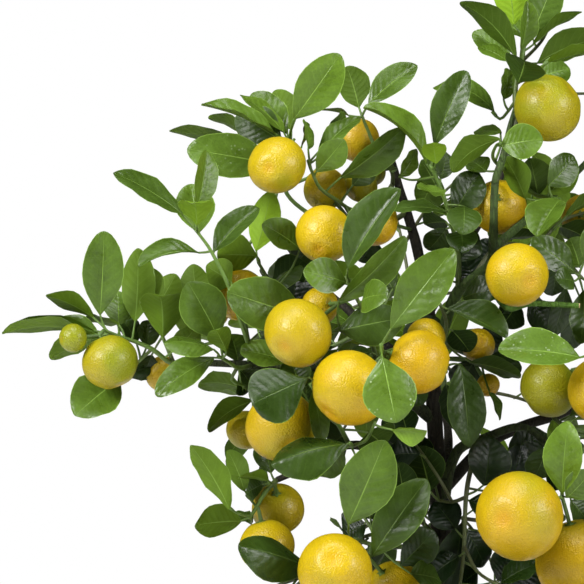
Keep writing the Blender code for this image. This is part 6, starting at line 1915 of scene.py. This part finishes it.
def add_floor(settings):
    """A pale round floor under the pot."""
    pile = Pile()
    points = [on_circle(radius, angle, -FLOOR_GAP) for radius in FLOOR_RINGS for angle in circle(FLOOR_SIDES)]
    faces = [(0, 1 + n, 1 + (n + 1) % FLOOR_SIDES) for n in range(FLOOR_SIDES)]
    for start in range(1, (len(FLOOR_RINGS) - 1) * FLOOR_SIDES, FLOOR_SIDES):
        faces += ring_faces(start, start + FLOOR_SIDES, FLOOR_SIDES)
    points = [Vector((0, 0, -FLOOR_GAP)), *points]
    pile.add(points, faces, 0, [(0, 0)] * len(points))
    pile.object("pale_floor", [pale_floor(settings)])


def add_room(settings):
    """A surround that looks white and gives a little light."""
    world = bpy.data.worlds.new("white_room")
    world.use_nodes = True
    bpy.context.scene.world = world
    world.node_tree.nodes.clear()
    sky = Wiring(world.node_tree)
    eye = sky.node("ShaderNodeLightPath").outputs["Is Camera Ray"]
    mixed = sky.node("ShaderNodeMixShader")
    sky.link(eye, mixed.inputs[0])
    for strength, socket in ((settings.room_light, mixed.inputs[1]), (1.0, mixed.inputs[2])):
        light = sky.feed(sky.node("ShaderNodeBackground"), Color=(1, 1, 1), Strength=strength)
        sky.link(light.outputs[0], socket)
    sky.link(mixed.outputs[0], sky.node("ShaderNodeOutputWorld").inputs["Surface"])


def add_lamp(name, sideways, height, distance, size, power):
    """A soft square lamp that shines on the crown, placed by its angles in degrees and its distance."""
    lamp = bpy.data.lights.new(name, "AREA")
    lamp.shape = "SQUARE"
    lamp.size = size
    lamp.energy = power
    holder = bpy.data.objects.new(name, lamp)
    turn, rise = math.radians(sideways), math.radians(height)
    away = Vector((math.sin(turn) * math.cos(rise), -math.cos(turn) * math.cos(rise), math.sin(rise)))
    holder.location = LAMP_AIM + away * distance
    holder.rotation_euler = (LAMP_AIM - holder.location).to_track_quat("-Z", "Y").to_euler()
    holder.visible_camera = False
    bpy.context.scene.collection.objects.link(holder)


def add_camera():
    """The camera at the photograph's place."""
    scene = bpy.context.scene
    camera = bpy.data.cameras.new("photo_view")
    camera.sensor_width = SENSOR_WIDTH
    camera.lens = SENSOR_WIDTH * VIEW_DISTANCE / (PHOTO_SIDE * METRES_PER_PIXEL)
    camera.clip_end = CAMERA_REACH
    viewer = bpy.data.objects.new("photo_view", camera)
    viewer.location = EYE
    viewer.rotation_euler = (math.radians(90), 0, 0)
    scene.collection.objects.link(viewer)
    scene.camera = viewer
    scene.view_settings.view_transform = "Standard"


def build_stage(settings):
    """A pale floor, a white surround, soft lights and the camera."""
    add_floor(settings)
    add_room(settings)
    add_lamp("softbox_left", -52, 27, 2.0, 0.75, settings.left_power)
    add_lamp("softbox_right", 55, 19, 2.0, 0.75, settings.right_power)
    add_lamp("softbox_top", -20, 70, 1.9, 1.00, settings.top_power)
    add_camera()


# The add-on


def colour_setting(label, words, default):
    """A colour that a user may change."""
    return bpy.props.FloatVectorProperty(name=label, description=words, default=default, subtype="COLOR",
                                         size=3, min=0.0, max=1.0)


class CalamondinLeafSettings(bpy.types.PropertyGroup):
    """Colours of the leaves and twigs."""

    leaf_green: colour_setting("Leaf Green", "The lighter green of the upper faces", (0.086, 0.156, 0.014))
    # This darker green also paints the shade of leaves deep in the crown
    leaf_dark_and_shade: colour_setting("Leaf Dark", "The darker green of the upper faces", (0.003, 0.013, 0.001))
    leaf_young: colour_setting("Young Leaf", "The yellow-green of young leaves", (0.260, 0.440, 0.020))
    leaf_vein: colour_setting("Leaf Vein", "The midrib and margin on the upper faces", (0.230, 0.370, 0.060))
    leaf_speck: colour_setting("Specks", "Wax and lime specks on the palest leaves", (0.500, 0.580, 0.400))
    under_green: colour_setting("Underside", "The lighter green of the undersides", (0.092, 0.162, 0.008))
    # This darker green also paints the shade of undersides deep in the crown
    under_dark_and_shade: colour_setting("Underside Dark", "The darker green of the undersides", (0.011, 0.029, 0.003))
    under_vein: colour_setting("Underside Vein", "The veins on the undersides", (0.180, 0.290, 0.050))
    twig_green: colour_setting("Twig Green", "Young twigs and leaf stalks", (0.095, 0.175, 0.022))
    twig_brown: colour_setting("Twig Brown", "Older twigs near the wood", (0.060, 0.055, 0.028))


class CalamondinFruitSettings(bpy.types.PropertyGroup):
    """Colours of the fruit."""

    fruit_orange: colour_setting("Ripe", "The peel of a ripe fruit", (0.510, 0.350, 0.001))
    # This deeper amber also paints the shade on fruits' undersides
    fruit_amber_and_shade: colour_setting("Amber", "The deeper peel of other ripe fruits", (0.480, 0.262, 0.001))
    fruit_green: colour_setting("Unripe", "The yellow-green of a fruit that isn't ripe",
                                (0.205, 0.225, 0.004))
    fruit_pore: colour_setting("Pores", "The tiny pits in the peel", (0.420, 0.210, 0.008))
    calyx_green: colour_setting("Calyx", "The star at the stalk", (0.110, 0.190, 0.035))
    twig_green: colour_setting("Stalk Green", "The fruit stalks", (0.085, 0.165, 0.026))
    twig_brown: colour_setting("Stalk Brown", "The stalks where they leave the twig", (0.060, 0.055, 0.028))


class CalamondinWoodSettings(bpy.types.PropertyGroup):
    """Colours of the trunk and limbs."""

    bark: colour_setting("Bark", "The bark of the trunk and limbs", (0.020, 0.017, 0.010))
    bark_green: colour_setting("Green Bark", "The bark of the youngest limbs", (0.085, 0.180, 0.022))
    bark_crack: colour_setting("Cracks", "Cracks in the bark", (0.006, 0.005, 0.003))
    bark_light: colour_setting("Lenticels", "Pale specks on the bark", (0.070, 0.060, 0.040))
    cut_wood: colour_setting("Cut Wood", "The end of a cut branch", (0.420, 0.310, 0.170))


class CalamondinPotSettings(bpy.types.PropertyGroup):
    """Colours of the pot and its soil."""

    clay: colour_setting("Clay", "The fired clay", (0.470, 0.170, 0.080))
    clay_dark: colour_setting("Turning Lines", "Darker lines from turning", (0.330, 0.110, 0.050))
    clay_bloom: colour_setting("Bloom", "Pale mineral bloom on the clay", (0.620, 0.360, 0.240))
    soil: colour_setting("Soil", "Potting soil", (0.040, 0.026, 0.016))
    soil_light: colour_setting("Crumbs", "Lighter crumbs and bits of bark", (0.120, 0.075, 0.042))


class CalamondinStageSettings(bpy.types.PropertyGroup):
    """The floor and the light."""

    floor: colour_setting("Floor", "The pale floor", (0.90, 0.90, 0.90))
    room_light: bpy.props.FloatProperty(name="Room Light", description="How bright the white room is",
                                        default=0.05, min=0.0, max=5.0)
    left_power: bpy.props.FloatProperty(name="Left Softbox", description="Power of the lamp on the left",
                                        default=48.0, min=0.0, unit="POWER")
    right_power: bpy.props.FloatProperty(name="Right Softbox", description="Power of the lamp on the right",
                                         default=32.0, min=0.0, unit="POWER")
    top_power: bpy.props.FloatProperty(name="Top Softbox", description="Power of the lamp above",
                                       default=28.0, min=0.0, unit="POWER")


class CALAMONDIN_OT_pot(bpy.types.Operator):
    """Turn the clay pot"""

    bl_idname = "calamondin.pot"
    bl_label = "Clay Pot"

    def execute(self, context):
        build_pot(context.scene.calamondin_pot)
        return {"FINISHED"}


class CALAMONDIN_OT_soil(bpy.types.Operator):
    """Fill the pot with crumbly soil"""

    bl_idname = "calamondin.soil"
    bl_label = "Soil"

    def execute(self, context):
        build_soil(context.scene.calamondin_pot)
        return {"FINISHED"}


class CALAMONDIN_OT_wood(bpy.types.Operator):
    """Grow the trunk and its limbs"""

    bl_idname = "calamondin.wood"
    bl_label = "Trunk and Limbs"

    def execute(self, context):
        build_wood(context.scene.calamondin_wood)
        return {"FINISHED"}


class CALAMONDIN_OT_leaves(bpy.types.Operator):
    """Grow the leafy sprays"""

    bl_idname = "calamondin.leaves"
    bl_label = "Leafy Sprays"

    def execute(self, context):
        build_leaves(context.scene.calamondin_leaves)
        return {"FINISHED"}


class CALAMONDIN_OT_fruit(bpy.types.Operator):
    """Hang the fruit on its stalks"""

    bl_idname = "calamondin.fruit"
    bl_label = "Fruit"

    def execute(self, context):
        build_fruit(context.scene.calamondin_fruit)
        return {"FINISHED"}


class CALAMONDIN_OT_stage(bpy.types.Operator):
    """Set up the floor, the lights and the camera"""

    bl_idname = "calamondin.stage"
    bl_label = "Stage"

    def execute(self, context):
        build_stage(context.scene.calamondin_stage)
        return {"FINISHED"}


class CALAMONDIN_PT_panel(bpy.types.Panel):
    """The tree's operators and settings"""

    bl_idname = "CALAMONDIN_PT_panel"
    bl_label = "Calamondin Tree"
    bl_space_type = "VIEW_3D"
    bl_region_type = "UI"
    bl_category = "Tree"

    def draw(self, context):
        layout = self.layout
        for operator in OPERATORS:
            layout.operator(operator.bl_idname)
        for name, group in SETTINGS.items():
            box = layout.box()
            settings = getattr(context.scene, name)
            for setting in group.__annotations__:
                box.prop(settings, setting)


SETTINGS = {
    "calamondin_pot": CalamondinPotSettings,
    "calamondin_wood": CalamondinWoodSettings,
    "calamondin_leaves": CalamondinLeafSettings,
    "calamondin_fruit": CalamondinFruitSettings,
    "calamondin_stage": CalamondinStageSettings,
}
OPERATORS = (CALAMONDIN_OT_pot, CALAMONDIN_OT_soil, CALAMONDIN_OT_wood, CALAMONDIN_OT_leaves,
             CALAMONDIN_OT_fruit, CALAMONDIN_OT_stage)


def register():
    """Register the settings, the operators and the panel."""
    for made in (*SETTINGS.values(), *OPERATORS, CALAMONDIN_PT_panel):
        bpy.utils.register_class(made)
    for name, group in SETTINGS.items():
        setattr(bpy.types.Scene, name, bpy.props.PointerProperty(type=group))


def unregister():
    """Take them away again."""
    for name in SETTINGS:
        delattr(bpy.types.Scene, name)
    for made in (CALAMONDIN_PT_panel, *reversed(OPERATORS), *SETTINGS.values()):
        bpy.utils.unregister_class(made)


def main():
    """Build every piece."""
    register()
    bpy.ops.calamondin.stage()
    bpy.ops.calamondin.pot()
    bpy.ops.calamondin.soil()
    bpy.ops.calamondin.wood()
    bpy.ops.calamondin.leaves()
    bpy.ops.calamondin.fruit()
    bpy.context.view_layer.update()


if __name__ == "__main__":
    main()
